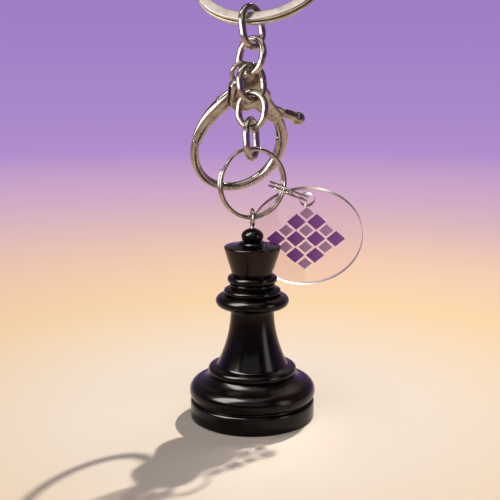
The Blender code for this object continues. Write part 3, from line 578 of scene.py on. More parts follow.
def drawn(name: str, points: list[Vector], closed: bool, **settings: object) -> Piece:
    """Draw a curve through points.

    Args:
        name: The new object's name.
        points: Its points in millimetres.
        closed: Whether it joins its own start.
        settings: The curve's properties.

    Returns:
        The curve.
    """
    deselect()
    bpy.ops.curve.primitive_nurbs_path_add()
    item = bpy.context.object
    item.name = name
    item.data.splines.clear()
    for setting, value in settings.items():
        setattr(item.data, setting, value)
    line = item.data.splines.new("POLY")
    line.points.add(len(points) - 1)
    line.use_cyclic_u = closed
    for spot, point in zip(line.points, points):
        spot.co = (*(point * MM), 1)
    return item


def as_mesh(item: Piece) -> Piece:
    """Turn a curve into a closed mesh."""
    activate(item)
    bpy.ops.object.convert(target="MESH")
    clean(bpy.context.object)
    return bpy.context.object


def sweep(name: str, path: list[Vector], radii: list[float], sides: int) -> Piece:
    """Bend a round bar along a path.

    Args:
        name: The new object's name.
        path: Centre line in millimetres.
        radii: The bar's radius at each point, in millimetres.
        sides: Half the number of faces round the bar, less two.

    Returns:
        The bar as a mesh, with its grain marked.
    """
    curve = drawn(name, path, False, dimensions="3D", twist_mode="MINIMUM", bevel_depth=MM, bevel_resolution=sides,
                  use_fill_caps=True)
    for spot, radius in zip(curve.data.splines[0].points, radii):
        spot.radius = radius
    bar = as_mesh(curve)
    mark_grain(bar, path)
    return bar


def slab(name: str, outline: list[Vector], thickness: float, edge: float = 0.0) -> Piece:
    """Make a plate from its outline, on both sides of its own XY plane, with edges rounded by so many millimetres."""
    return as_mesh(drawn(name, outline, True, dimensions="2D", fill_mode="BOTH", extrude=(thickness / 2 - edge) * MM,
                         bevel_depth=edge * MM, bevel_resolution=4, offset=-edge * MM))


def drum(name: str, place: Vector, radius: float, depth: float, sides: int = 64) -> Piece:
    """Add a round bar along Z.

    Args:
        name: The new object's name.
        place: Its middle in millimetres.
        radius: Its radius in millimetres.
        depth: Its length in millimetres.
        sides: Its number of faces.

    Returns:
        The bar.
    """
    deselect()
    bpy.ops.mesh.primitive_cylinder_add(vertices=sides, radius=radius * MM, depth=depth * MM, location=place * MM)
    bar = bpy.context.object
    bar.name = name
    settle()
    return bar


def turned(name: str, profile: Profile, steps: int) -> Piece:
    """Turn a profile about Z, as on a lathe.

    Args:
        name: The new object's name.
        profile: Radius and height of each point in millimetres, from one end of the axis to the other.
        steps: Faces round the piece.

    Returns:
        The closed mesh.
    """
    deselect()
    bpy.ops.mesh.primitive_plane_add(size=MM)
    piece = bpy.context.object
    piece.name = name
    bpy.ops.object.mode_set(mode="EDIT")
    bpy.ops.mesh.select_all(action="SELECT")
    bpy.ops.mesh.merge(type="CENTER")
    points = [Vector((radius, 0, height)) * MM for radius, height in profile]
    bpy.ops.transform.translate(value=points[0])
    for spot, target in zip(points, points[1:]):
        bpy.ops.mesh.extrude_region_move(TRANSFORM_OT_translate={"value": target - spot})
    bpy.ops.mesh.select_all(action="SELECT")
    bpy.ops.mesh.spin(steps=steps, angle=2 * math.pi, center=(0, 0, 0), axis=(0, 0, 1), use_auto_merge=True)
    bpy.ops.object.mode_set(mode="OBJECT")
    clean(piece)
    return piece


@dataclass
class SplitRing:
    """A ring of wire wound twice, whose turns lie side by side and cross over once."""

    name: str
    fitting: Fitting
    matrix: Matrix
    diameter: float
    wire: float
    split: float
    gap: float = 0.45
    steps: int = 150
    sides: int = 8
    start: float = 24.0
    leave: float = 338.0
    arrive: float = 382.0
    end: float = 696.0

    def path(self, radius: float, spacing: float) -> list[Vector]:
        """Return the winding's centre line.

        Args:
            radius: Of the winding's middle line, in millimetres.
            spacing: Between the two turns' middles, in millimetres.

        Returns:
            Its points.
        """
        count = round(self.steps * (self.end - self.start) / 360)
        points = []
        for angle in np.linspace(self.start, self.end, count):
            share = min(max((angle - self.leave) / (self.arrive - self.leave), 0), 1)
            height = spacing * (share * share * (3 - 2 * share) - 0.5)
            turn = math.radians(angle + self.split)
            points.append(Vector((radius * math.cos(turn), radius * math.sin(turn), height)))
        return points

    def build(self) -> Piece:
        """Wind the ring and hang it in its place."""
        path = self.path((self.diameter - self.wire) / 2, self.wire + self.gap)
        points, radii = chamfered(path, [self.wire / 2] * len(path))
        return self.fitting.fit(sweep(self.name, points, radii, self.sides), self.matrix)


@dataclass
class KeyRing(SplitRing):
    """The split ring of flat wire at the top, with rolled edges."""

    width: float = 2.6
    edge: float = 0.30

    def section(self) -> Piece:
        """Return the flat wire's section, as a curve to sweep."""
        across = self.width / 2 - self.edge
        up = self.wire / 2 - self.edge
        corners = ((across, up, 0), (-across, up, 90), (-across, -up, 180), (across, -up, 270))
        outline = [p for x, y, turn in corners for p in arc((x, y), self.edge, turn, turn + 90, 6)]
        return drawn("flat_section", outline, True, dimensions="2D")

    def build(self) -> Piece:
        """Wind the flat wire and put it at the top."""
        path = self.path((self.diameter - self.width) / 2, self.wire + self.gap)
        section = self.section()
        ring = as_mesh(drawn(self.name, path, False, dimensions="3D", twist_mode="Z_UP", bevel_mode="OBJECT",
                             bevel_object=section, use_fill_caps=True))
        bpy.data.objects.remove(section)
        mark_grain(ring, path)
        return self.fitting.fit(ring, self.matrix)


@dataclass
class Link:
    """A chain link bent from round wire, stouter in its arms than in its bends, and butted at one side."""

    number: int
    place: Place
    turn: float
    tilt: float
    length: float
    width: float = 8.7
    wire: float = 1.3
    arm_wire: float = 1.8
    crown: float = 0.17
    swell: int = 4
    slit: float = 0.07
    bend_steps: int = 40
    sides: int = 9

    def build(self) -> Piece:
        """Bend the link and hang it in the chain."""
        bend = (self.width - self.arm_wire) / 2
        half = (self.length - self.wire) / 2 - bend
        path = [Vector((bend, self.slit / 2, 0)),
                *arc((0, half), bend, 0, 180, self.bend_steps),
                *arc((0, -half), bend, 180, 360, self.bend_steps),
                Vector((bend, -self.slit / 2, 0))]
        shares = [(abs(p.x) / bend) ** self.swell for p in path]
        radii = [(self.wire + (self.arm_wire - self.wire) * s) / 2 + self.crown * (1 - s) for s in shares]
        path = [p + Vector((0, math.copysign(self.crown * (1 - s), p.y), 0)) for p, s in zip(path, shares)]
        wire = sweep(f"link_{self.number}_wire", *chamfered(path, radii, self.slit), self.sides)
        fitting = Fitting(f"link_{self.number}", (f"chain_link_{self.number}",), Slot.NICKEL, NICKEL)
        return fitting.fit(wire, at(self.place, spin(self.tilt, "Y") @ stand(self.turn)))


@dataclass
class LobsterClasp:
    """The trigger clasp: a cast body with eye and hook, a sprung gate with a thumb lever, a pin and a coil."""

    place: Place = (-7.292, -20.242, -35.075)
    turn: float = 22.0
    lean: float = -28.0
    roll: float = 10.0
    rest_gap: float = 0.3
    eye_bore: float = 3.7
    eye_wire: float = 1.2
    thickness: float = 3.4
    edge: float = 0.9
    cheek: float = 5.0
    shoulder: float = 6.6
    pivot: Vector = field(default_factory=lambda: Vector((1.4, -7.4, 0)))
    hook_middle: Vector = field(default_factory=lambda: Vector((-0.6, -21.9, 0)))
    hook_width: float = 24.0
    hook_length: float = 25.8
    hook_root: float = 3.6
    hook_tip: float = 2.2
    hook_start: float = 48.0
    hook_overlap: float = 16.0
    taper_rate: float = 1.6
    tip_angle: float = 161.0
    seam_spare: float = 1.2
    gate_plate: float = 1.2
    gate_root: float = 4.6
    gate_tip: float = 2.7
    gate_flatness: float = 0.72
    gate_bow: float = 2.6
    gate_angle: float = 182.0
    gate_web: float = 3.0
    gate_opening: float = 28.0
    hub: float = 4.4
    pin: float = 1.8
    pin_head: float = 2.9
    pin_dome: float = 0.32
    lever_reach: float = 17.2
    lever_angle: float = -33.0
    lever_web: float = 1.8
    lever_neck: float = 2.7
    neck_start: float = 11.7
    lever_ball: float = 3.6
    spring_wire: float = 0.25
    spring_coil: float = 1.2
    spring_turns: int = 3
    spring_room: float = 20.0
    spring_pressed: float = 0.15
    body_grid: float = 0.12
    gate_grid: float = 0.10
    arch_knots: tuple[tuple[float, float], ...] = ((118, 1), (136, 0.95))
    cheek_knots: tuple[tuple[float, float], ...] = (
        (158, 1), (178, 1), (206, 0.94), (232, 0.78), (266, 0.72), (298, 0.8))
    root_knots: tuple[tuple[float, float], ...] = ((-12, 1), (14, 0.9))
    eye_knot: tuple[float, float] = (0.75, 0.35)
    root_spread: float = 0.45
    knot_steps: int = 8
    wedge_points: int = 19
    hook_points: int = 120
    hub_points: int = 24
    arm_points: int = 40
    arm_sink: float = -0.12
    neck_points: int = 16
    bar_sides: int = 8
    arm_sides: int = 10
    eye_segments: tuple[int, int] = (72, 24)
    ball_segments: tuple[int, int] = (40, 24)
    dome_points: int = 10
    pin_steps: int = 48
    housing_skin: float = 1.4
    gate_skin: float = 1.2
    cast_rounds: int = 12
    neck_foot: float = 0.8
    coil_steps: int = 32
    head_seat: float = 0.04
    head_round: float = 0.1

    def polar(self, angle: float, distance: float) -> Vector:
        """Return a point by its angle and distance from the gate's pin."""
        turn = math.radians(angle)
        return self.pivot + Vector((math.cos(turn), math.sin(turn), 0)) * distance

    def hook_point(self, angle: float) -> Vector:
        """Return a point on the hook's centre line."""
        turn = math.radians(angle)
        return self.hook_middle + Vector((math.cos(turn) * self.hook_width, math.sin(turn) * self.hook_length, 0)) / 2

    def hook_way(self, angle: float) -> Vector:
        """Return the hook's direction, towards a greater angle."""
        turn = math.radians(angle)
        return Vector((-math.sin(turn) * self.hook_width, math.cos(turn) * self.hook_length, 0)).normalized()

    @property
    def eye_path(self) -> float:
        """The radius of the eye's centre line."""
        return (self.eye_bore + self.eye_wire) / 2

    @property
    def gate_length(self) -> float:
        """The distance from the pin to the gate's end face."""
        return (self.hook_point(self.tip_angle) - self.pivot).length

    @property
    def tip_way(self) -> float:
        """The direction from the pin to the hook's tip, in degrees."""
        tip = self.hook_point(self.tip_angle) - self.pivot
        return math.degrees(math.atan2(tip.y, tip.x)) % 360

    def half_angle(self, width: float, diameter: float) -> float:
        """Return half the angle, in degrees, that a straight arm takes up on a circle."""
        return math.degrees(math.asin(width / diameter))

    def wedge(self, name: str, span: tuple[float, float], inner: float, outer: float,
              thickness: float) -> Piece:
        """Make a slice of a ring about the pin, to cut with.

        Args:
            name: The cutter's name.
            span: First and last angle in degrees.
            inner: Inner radius in millimetres.
            outer: Outer radius in millimetres.
            thickness: Thickness in millimetres.

        Returns:
            The cutter.
        """
        angles = np.linspace(*span, self.wedge_points)
        rim = [self.polar(angle, outer) for angle in angles]
        root = [self.polar(angle, inner) for angle in reversed(angles)]
        return slab(name, [*rim, *root], thickness)

    def outline(self) -> list[Vector]:
        """Return the housing's outline: eye end, left cheek, arch and right shoulder."""
        eye = self.eye_path + self.eye_wire / 2
        root = self.hook_point(self.hook_start - self.hook_overlap)
        out = (root - self.hook_middle).normalized() * self.hook_root * self.root_spread
        across, up = (share * eye for share in self.eye_knot)
        knots = [Vector((-across, up, 0)),
                 *(self.polar(a, self.shoulder * s) for a, s in self.arch_knots),
                 *(self.polar(a, self.cheek * s) for a, s in self.cheek_knots),
                 root - out,
                 root + out,
                 *(self.polar(a, self.shoulder * s) for a, s in self.root_knots),
                 Vector((across, up, 0))]
        points = []
        for index, here in enumerate(knots):
            before, after, beyond = (knots[(index + shift) % len(knots)] for shift in (-1, 1, 2))
            for t in np.arange(self.knot_steps) / self.knot_steps:
                points.append(0.5 * (2 * here + (after - before) * t
                                     + (2 * before - 5 * here + 4 * after - beyond) * t ** 2
                                     + (3 * here - before - 3 * after + beyond) * t ** 3))
        return points

    def body(self) -> Piece:
        """Make the casting: eye, housing and hook, with the gate's slot."""
        housing = slab("housing", self.outline(), self.thickness, self.edge)
        thin = self.eye_wire / self.thickness
        for spot in housing.data.vertices:
            share = (self.eye_path * MM - spot.co.y) / ((self.eye_path - self.pivot.y) * MM)
            spot.co.z *= thin + (1 - thin) * min(max(share, 0), 1)
        spare = math.degrees(self.seam_spare * 2 / self.hook_length)
        angles = np.linspace(self.hook_start, self.tip_angle - spare - 360, self.hook_points)
        shares = np.minimum(np.linspace(0, self.taper_rate, self.hook_points), 1)
        radii = [(self.hook_root + (self.hook_tip - self.hook_root) * s) / 2 for s in shares]
        hook = sweep("hook", [self.hook_point(a) for a in angles], radii, self.bar_sides)
        deselect()
        round_eye, round_wire = self.eye_segments
        bpy.ops.mesh.primitive_torus_add(major_radius=self.eye_path * MM, minor_radius=self.eye_wire / 2 * MM,
                                         major_segments=round_eye, minor_segments=round_wire)
        eye = bpy.context.object
        seat = drum("eye_seat", Vector((0, 0, 0)), (self.eye_bore + 0.5 * self.eye_wire) / 2, 3 * self.thickness)
        cut(housing, [seat])
        body = join([housing, hook, eye], "clasp_casting")
        cast(body, self.housing_skin * self.body_grid, 1)
        far = self.shoulder + self.hook_root
        near = self.hub / 4
        room = self.hub + 2 * self.rest_gap
        web = self.half_angle(self.gate_web + 2 * self.rest_gap, room)
        lever = self.half_angle(self.lever_web + 2 * self.rest_gap, room)
        tip = self.half_angle(self.hook_root, self.gate_length)
        slot = self.gate_plate + 2 * self.rest_gap
        cut(body, [
            self.wedge("tip_cut", (self.tip_way - tip, self.tip_way + tip), far, self.gate_length + self.rest_gap,
                       self.thickness),
            drum("hub_slot", self.pivot, room / 2, slot),
            self.wedge("gate_slot", (self.gate_angle - web, self.gate_angle + web + self.gate_opening), near, far,
                       slot),
            self.wedge("lever_slot", (self.lever_angle - lever,
                                      self.lever_angle + lever + self.gate_opening + self.spring_room),
                       near, self.lever_reach, slot),
            drum("pin_bore", self.pivot, self.pin / 2 + self.rest_gap, 2 * self.thickness),
        ])
        cast(body, self.body_grid, self.cast_rounds)
        return body

    def gate(self) -> Piece:
        """Make the gate: hub, bowed arm and thumb lever in one."""
        core = []
        arms = ((self.lever_angle, self.lever_web, self.neck_start + self.lever_neck, 0),
                (self.gate_angle, self.gate_web, self.cheek + self.gate_tip, 360))
        for (angle, width, reach, turn), (other, other_width, _, _) in zip(arms, reversed(arms)):
            way = math.radians(angle)
            side = Vector((-math.sin(way), math.cos(way), 0)) * width / 2
            end = self.polar(angle, reach)
            stop = other + turn - self.half_angle(other_width, self.hub)
            steps = np.linspace(angle + self.half_angle(width, self.hub), stop, self.hub_points)
            core += [end - side, end + side, *(self.polar(step, self.hub / 2) for step in steps)]
        plate = slab("gate_core", core, self.gate_plate)
        root = self.polar(self.gate_angle, self.cheek + self.rest_gap)
        end = self.hook_point(self.tip_angle) + self.hook_way(self.tip_angle) * self.seam_spare
        bow = (root + end) / 2 + (end - root).normalized().cross(Vector((0, 0, 1))) * self.gate_bow
        shares = np.linspace(self.arm_sink, 1, self.arm_points)
        line = bent(root, bow, end, shares)
        radii = [(self.gate_root + (self.gate_tip - self.gate_root) * t) / 2 for t in shares]
        arm = sweep("gate_arm", line, radii, self.arm_sides)
        activate(arm)
        bpy.ops.transform.resize(value=(1, 1, self.gate_flatness))
        settle()
        cut(arm, [drum("cheek_room", self.pivot, self.cheek + 1.5 * self.rest_gap, 3 * self.thickness, 96)])
        shares = np.linspace(0, 1, self.neck_points)
        neck_line = [self.polar(self.lever_angle, self.neck_start + (self.lever_reach - self.neck_start) * t)
                     for t in shares]
        widths = [self.neck_foot + (1 - self.neck_foot) * min(2 * t, 1) for t in shares]
        neck = sweep("lever_neck", neck_line, [self.lever_neck / 2 * width for width in widths], self.bar_sides)
        deselect()
        segments, rings = self.ball_segments
        bpy.ops.mesh.primitive_uv_sphere_add(segments=segments, ring_count=rings, radius=self.lever_ball / 2 * MM,
                                             location=neck_line[-1] * MM)
        ball = bpy.context.object
        settle()
        gate = join([plate, arm, neck, ball], "gate_casting")
        cast(gate, self.gate_skin * self.gate_grid, 1)
        span = self.half_angle(self.gate_root, self.gate_length)
        cut(gate, [
            self.wedge("gate_end", (self.tip_way - span, self.tip_way + span), self.gate_length,
                       self.gate_length + self.gate_root, 3 * self.thickness),
            drum("gate_bore", self.pivot, self.pin / 2 + self.rest_gap, 3 * self.thickness),
        ])
        cast(gate, self.gate_grid, self.cast_rounds)
        return gate

    def rivet(self) -> Piece:
        """Make the pin, with a low dome spread over each end of its bore."""
        half = self.thickness / 2
        shank = self.pin / 2
        head = self.pin_head / 2
        top = [(head * math.sin(a), half + self.head_seat + self.pin_dome * math.cos(a))
               for a in np.linspace(0, math.pi / 2, self.dome_points)]
        seat = head - self.head_round
        profile = [*top, (seat, half), (shank, half), (shank, -half), (seat, -half),
                   *((r, -z) for r, z in reversed(top))]
        pin = turned("pin_rivet", profile, self.pin_steps)
        activate(pin)
        pin.location = self.pivot * MM
        settle()
        return pin

    @property
    def seats(self) -> tuple[Vector, Vector]:
        """Return the ends of the coil: by the lever, and by the wall of its slot."""
        low = self.lever_angle + self.half_angle(self.lever_web, self.hub)
        high = low + self.gate_opening + self.spring_room
        reach = (self.hub / 2 + self.shoulder) / 2
        lower, upper = self.polar(low, reach), self.polar(high, reach)
        inset = (upper - lower).normalized() * (self.rest_gap + self.spring_wire)
        return lower + inset, upper - inset

    def coil(self) -> Piece:
        """Make the coil that shuts the gate, between the lever and the wall of its slot."""
        lower, upper = self.seats
        across = (upper - lower).normalized().cross(Vector((0, 0, 1)))
        radius = (self.spring_coil - self.spring_wire) / 2
        path = []
        for share in np.linspace(0, 1, self.coil_steps * self.spring_turns + 1):
            turn = 2 * math.pi * self.spring_turns * share
            path.append(lower.lerp(upper, share) + across * radius * math.cos(turn)
                        + Vector((0, 0, radius * math.sin(turn))))
        return sweep("spring_coil", *chamfered(path, [self.spring_wire / 2] * len(path)), 4)

    def build(self) -> None:
        """Make the clasp's four pieces and hang them on the chain."""
        matrix = at(self.place, stand(self.turn, self.lean) @ spin(self.roll, "Z"))
        Fitting("clasp", ("clasp_body",), Slot.NICKEL, CAST_NICKEL).fit(self.body(), matrix)
        Fitting("gate", ("clasp_gate",), Slot.NICKEL, CAST_NICKEL).fit(self.gate(), matrix)
        Fitting("clasp", ("clasp_pin",), Slot.STEEL, CAST_NICKEL).fit(self.rivet(), matrix)
        coil = Fitting("clasp", ("clasp_spring",), Slot.SPRING, COIL_STEEL).fit(self.coil(), matrix)
        lower, upper = (matrix @ (end * MM) for end in self.seats)
        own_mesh(coil)


@dataclass
class ScrewEye:
    """The wire eye whose shank is screwed into the queen."""

    place: Place = (-4.557, -22.732, -70.868)
    turn: float = 98.0
    bore: float = 3.0
    wire: float = 0.9
    bend: float = 0.8
    shank: float = 8.5
    rest_gap: float = 0.3

    def build(self) -> Piece:
        """Bend the eye and set it in the queen's finial."""
        radius = (self.bore + self.wire) / 2
        drop = math.sqrt(radius ** 2 + 2 * radius * self.bend)
        meet = math.degrees(math.atan2(-drop, self.bend))
        tail = 270 - 2 * math.degrees(math.asin((self.wire + self.rest_gap) / 2 / radius))
        path = [*(Vector((0, -drop - s, 0)) for s in np.linspace(self.shank, 0.2, 30)),
                *arc((self.bend, -drop), self.bend, 180, 180 + meet, 14),
                *arc((0, 0), radius, meet, tail, 80)[1:]]
        eye = sweep("screw_eye_wire", *chamfered(path, [self.wire / 2] * len(path)), 8)
        return Fitting("queen", ("screw_eye",), Slot.NICKEL, NICKEL).fit(eye, at(self.place, stand(self.turn)))


@dataclass
class Queen:
    """The turned queen, from its plinth to its ball finial."""

    place: Place = (-4.557, -22.732, -122.668)
    steps: int = 160
    height: float = 49.1
    bore: float = 0.75
    bore_depth: float = 9.2
    plinth: float = 16.0
    plinth_top: float = 4.8
    plinth_round: float = 0.8
    groove: float = 15.15
    bell: float = 16.2
    bell_foot: float = 5.25
    bell_middle: float = 7.05
    astragal: float = 11.35
    astragal_foot: float = 11.25
    astragal_top: float = 13.75
    stem_foot: float = 9.1
    stem_neck: float = 5.5
    stem_top: float = 28.5
    collar: float = 9.35
    collar_foot: float = 28.9
    collar_top: float = 32.2
    flange: float = 7.27
    flange_top: float = 34.25
    ring: float = 5.75
    ring_top: float = 35.15
    bead: float = 6.35
    bead_top: float = 37.1
    crown_foot: float = 5.05
    crown: float = 7.15
    crown_top: float = 44.6
    finial: float = 2.8
    finial_collar: float = 3.45
    finial_flatness: float = 0.72
    foot_round: float = 0.35
    brow_in: float = 2.9
    brow_rise: float = 2.75
    astragal_sink: float = 0.7
    collar_sink: float = 2.1
    bead_sink: float = 0.9
    crown_rise: float = 7.0
    crown_lip: float = 0.35
    finial_start: float = -40.0

    def roll(self, radius: float, low: float, high: float, sink: float, count: int = 14) -> Profile:
        """Return a half-round moulding, from its foot to its top.

        Args:
            radius: Its greatest radius.
            low: Height of its foot.
            high: Height of its top.
            sink: How much less the radius is at both ends.
            count: Number of points.

        Returns:
            Radius and height of each point.
        """
        angles = np.linspace(-math.pi / 2, math.pi / 2, count)
        middle, half = (low + high) / 2, (high - low) / 2
        return [(radius - sink + sink * math.cos(a), middle + half * math.sin(a)) for a in angles]

    def corner(self, centre: tuple[float, float], radius: float, start: float, stop: float,
               count: int = 7) -> Profile:
        """Return a rounded corner of the profile, as radius and height."""
        return [(p.x, p.y) for p in arc(centre, radius, start, stop, count)]

    def foot(self) -> Profile:
        """Return the profile of the plinth and the bell, with its cove under the astragal."""
        soft, top = self.plinth_round, self.plinth_top
        plinth = [(0.0, 0.0), (8.0, 0.0), (self.plinth - 1.2, 0.0),
                  *self.corner((self.plinth - self.foot_round, self.foot_round), self.foot_round, -90, 0),
                  (self.plinth, 1.8),
                  *self.corner((self.plinth - soft, top - soft), soft, 0, 80),
                  (self.groove + 0.05, top + 0.02), (self.groove, top + 0.1), (self.groove, self.bell_foot - 0.1),
                  (self.groove + 0.06, self.bell_foot)]
        low = self.bell_middle - self.bell_foot
        rim = [(self.groove + (self.bell - self.groove) * math.cos(a), self.bell_middle + low * math.sin(a))
               for a in np.linspace(math.radians(-80), 0, 9)]
        brow = [(self.bell - self.brow_in * (1 - math.cos(a)), self.bell_middle + self.brow_rise * math.sin(a))
                for a in np.linspace(math.radians(8), math.radians(72), 12)]
        start, end = Vector(brow[-1]), Vector((self.astragal - 0.35, self.astragal_foot))
        knee = Vector((self.astragal + 0.55, start.y + 0.35))
        cove = [tuple(p) for p in bent(start, knee, end, np.linspace(0.08, 1, 12))]
        return [*plinth, *rim, *brow, *cove]

    def shaft(self) -> Profile:
        """Return the profile from the astragal to the collar."""
        astragal = self.roll(self.astragal, self.astragal_foot + 0.05, self.astragal_top - 0.35, self.astragal_sink)
        spread = self.stem_foot - self.stem_neck
        low, high = self.astragal_top, self.stem_top
        stem = [(self.stem_neck + spread * s * s, high + (low - high) * s) for s in np.linspace(1, 0.06, 40)]
        step = [(self.astragal - 1.0, self.astragal_top - 0.28), (self.stem_foot + 0.25, self.astragal_top - 0.12)]
        fillet = [(self.stem_neck + 0.15, self.stem_top - 0.1),
                  *self.corner((self.stem_neck + 0.12, self.stem_top + 0.22), 0.3, -80, 60),
                  (self.stem_neck + 0.22, self.collar_foot)]
        collar = self.roll(self.collar, self.collar_foot, self.collar_top, self.collar_sink, 24)
        return [*astragal, *step, *stem, *fillet, *collar]

    def head(self) -> Profile:
        """Return the profile from the flange to the bore in the finial."""
        flange = [(self.flange - 0.5, self.collar_top + 0.05),
                  *self.roll(self.flange, self.collar_top + 0.15, self.collar_top + 1.45, 0.45, 9),
                  (self.flange - 0.9, self.flange_top - 0.3), (self.ring - 0.1, self.flange_top)]
        ring = self.roll(self.ring, self.flange_top + 0.03, self.ring_top - 0.03, 0.3, 9)
        bead = self.roll(self.bead, self.ring_top + 0.05, self.bead_top, self.bead_sink, 16)
        lip = self.crown_lip
        crown = [(self.crown_foot, self.bead_top + 0.05), (self.crown_foot + 0.02, self.bead_top + 0.3),
                 *((self.crown_foot + (self.crown - self.crown_foot) * s, self.bead_top + self.crown_rise * s)
                   for s in np.linspace(0.1, 0.98, 10)),
                 *self.corner((self.crown - lip, self.crown_top - lip), lip, 0, 75)]
        middle = self.height - self.finial * self.finial_flatness
        foot = middle - self.finial * self.finial_flatness * math.sin(math.radians(-self.finial_start))
        dish = [(self.crown - 1.0, self.crown_top + 0.08), (self.finial_collar + 0.9, self.crown_top + 0.42),
                (self.finial_collar + 0.25, self.crown_top + 0.55), (self.finial_collar, self.crown_top + 0.72)]
        neck = [(self.finial_collar - 0.12, self.crown_top + 0.95), (self.finial_collar - 0.5, self.crown_top + 1.1),
                (self.finial * 0.92, (self.crown_top + 1.1 + foot) / 2), (self.finial * 0.8, foot - 0.1)]
        ball = [(p.x, middle + (p.y - middle) * self.finial_flatness)
                for p in arc((0, middle), self.finial, self.finial_start,
                             math.degrees(math.acos(self.bore / self.finial)), 28)]
        hole = [(self.bore, self.height - self.bore_depth), (0.0, self.height - self.bore_depth)]
        return [*flange, *ring, *bead, *crown, *dish, *neck, *ball, *hole]

    def build(self) -> Piece:
        """Turn the queen and set it under its eye."""
        piece = turned("queen_turned", [*self.foot(), *self.shaft(), *self.head()], self.steps)
        return Fitting("queen", ("queen",), Slot.LACQUER, LACQUER).fit(piece, at(self.place, Matrix.Identity(4)))


@dataclass
class Tag:
    """The clear disc with its printed chequers."""

    place: Place = (9.475, -16.463, -67.027)
    lean: float = -22.6
    diameter: float = 30.0
    thickness: float = 1.5
    hole: float = 3.7
    margin: float = 1.5
    drop: float = 0.083
    edge: float = 0.16
    cell: float = 3.7
    ink: float = 0.04
    ink_gap: float = 0.02
    ink_edge: float = 0.012
    deep_share: float = 0.94
    pale_share: float = 0.72
    squares: int = 4
    lozenge_turn: float = 45.0
    flat_limit: float = 0.99

    @property
    def matrix(self) -> Matrix:
        """The disc's place."""
        return at(self.place, stand(0, self.lean))

    @property
    def middle(self) -> Vector:
        """The disc's middle, under the hinge."""
        return Vector((0, -self.drop - self.diameter / 2 + self.margin + self.hole / 2, 0))

    def disc(self) -> Piece:
        """Cut the disc and polish its rims."""
        disc = drum("tag_disc_acrylic", self.middle, self.diameter / 2, self.thickness, 160)
        cut(disc, [drum("tag_hole", Vector((0, -self.drop, 0)), self.hole / 2, 3 * self.thickness, 64)])
        modify(disc, "BEVEL", width=self.edge * MM, segments=3, limit_method="ANGLE", angle_limit=math.radians(60))
        return disc

    def chequers(self, odd: int, name: str) -> Piece:
        """Print one colour of the chequered lozenge.

        Args:
            odd: Which of the two colours, 0 or 1.
            name: The print's name.

        Returns:
            The raised ink of that colour.
        """
        tiles = []
        for row in range(self.squares):
            for column in range(self.squares):
                if (row + column) % 2 != odd:
                    continue
                spot = Vector((column - (self.squares - 1) / 2, row - (self.squares - 1) / 2, 0)) * self.cell
                deselect()
                bpy.ops.mesh.primitive_cube_add(size=MM)
                tile = bpy.context.object
                size = self.cell * (self.deep_share if odd else self.pale_share)
                lift = Vector((0, 0, self.thickness / 2 + self.ink_gap + self.ink / 2))
                tile.matrix_world = (Matrix.Translation((self.middle + lift) * MM) @ spin(self.lozenge_turn, "Z")
                                     @ Matrix.Translation(spot * MM) @ Matrix.Diagonal((size, size, self.ink, 1)))
                settle()
                tiles.append(tile)
        print_piece = join(tiles, name)
        modify(print_piece, "BEVEL", width=self.ink_edge * MM, segments=2)
        return print_piece

    def build(self) -> None:
        """Make the disc and its print, and hang them on the tag ring."""
        disc = Fitting("tag_disc", ("tag_disc",), Slot.ACRYLIC, ACRYLIC).fit(self.disc(), self.matrix)
        front = self.matrix.to_3x3() @ Vector((0, 0, 1))
        disc.visible_shadow = False
        disc.data.materials.append(ACRYLIC_EDGE.material())
        for face in disc.data.polygons:
            rim = abs(face.normal.dot(front)) < self.flat_limit
            face.material_index = int(rim)
            face.use_smooth = rim
        Fitting("tag_disc", (), Slot.ACRYLIC, DEEP_INK).fit(self.chequers(1, "tag_print_purple"), self.matrix)
        Fitting("tag_disc", (), Slot.ACRYLIC, PALE_INK).fit(self.chequers(0, "tag_print_mauve"), self.matrix)


@dataclass(frozen=True)
class Lamp:
    """A soft box: place, aim, size, power and tone, whether gloss shows it, and the one finish it shines on."""

    name: str
    place: Place
    aim: Place
    width: float
    height: float
    power: float
    tone: str
    mirrored: bool = True
    only: type[Finish] | None = None

    def build(self) -> None:
        """Hang the lamp."""
        data = bpy.data.lights.new(self.name, "AREA")
        data.shape = "RECTANGLE"
        data.size = self.width * MM
        data.size_y = self.height * MM
        data.energy = self.power
        data.color = hex_linear(self.tone)[:3]
        lamp = bpy.data.objects.new(self.name, data)
        bpy.context.scene.collection.objects.link(lamp)
        way = (Vector(self.aim) - Vector(self.place)) * MM
        lamp.visible_glossy = self.mirrored
        if self.only:
            lamp.visible_diffuse = False
            lamp.light_linking.receiver_collection = lit_group(self.only)
        lamp.location = Vector(self.place) * MM
        lamp.rotation_euler = way.to_track_quat("-Z", "Y").to_euler()


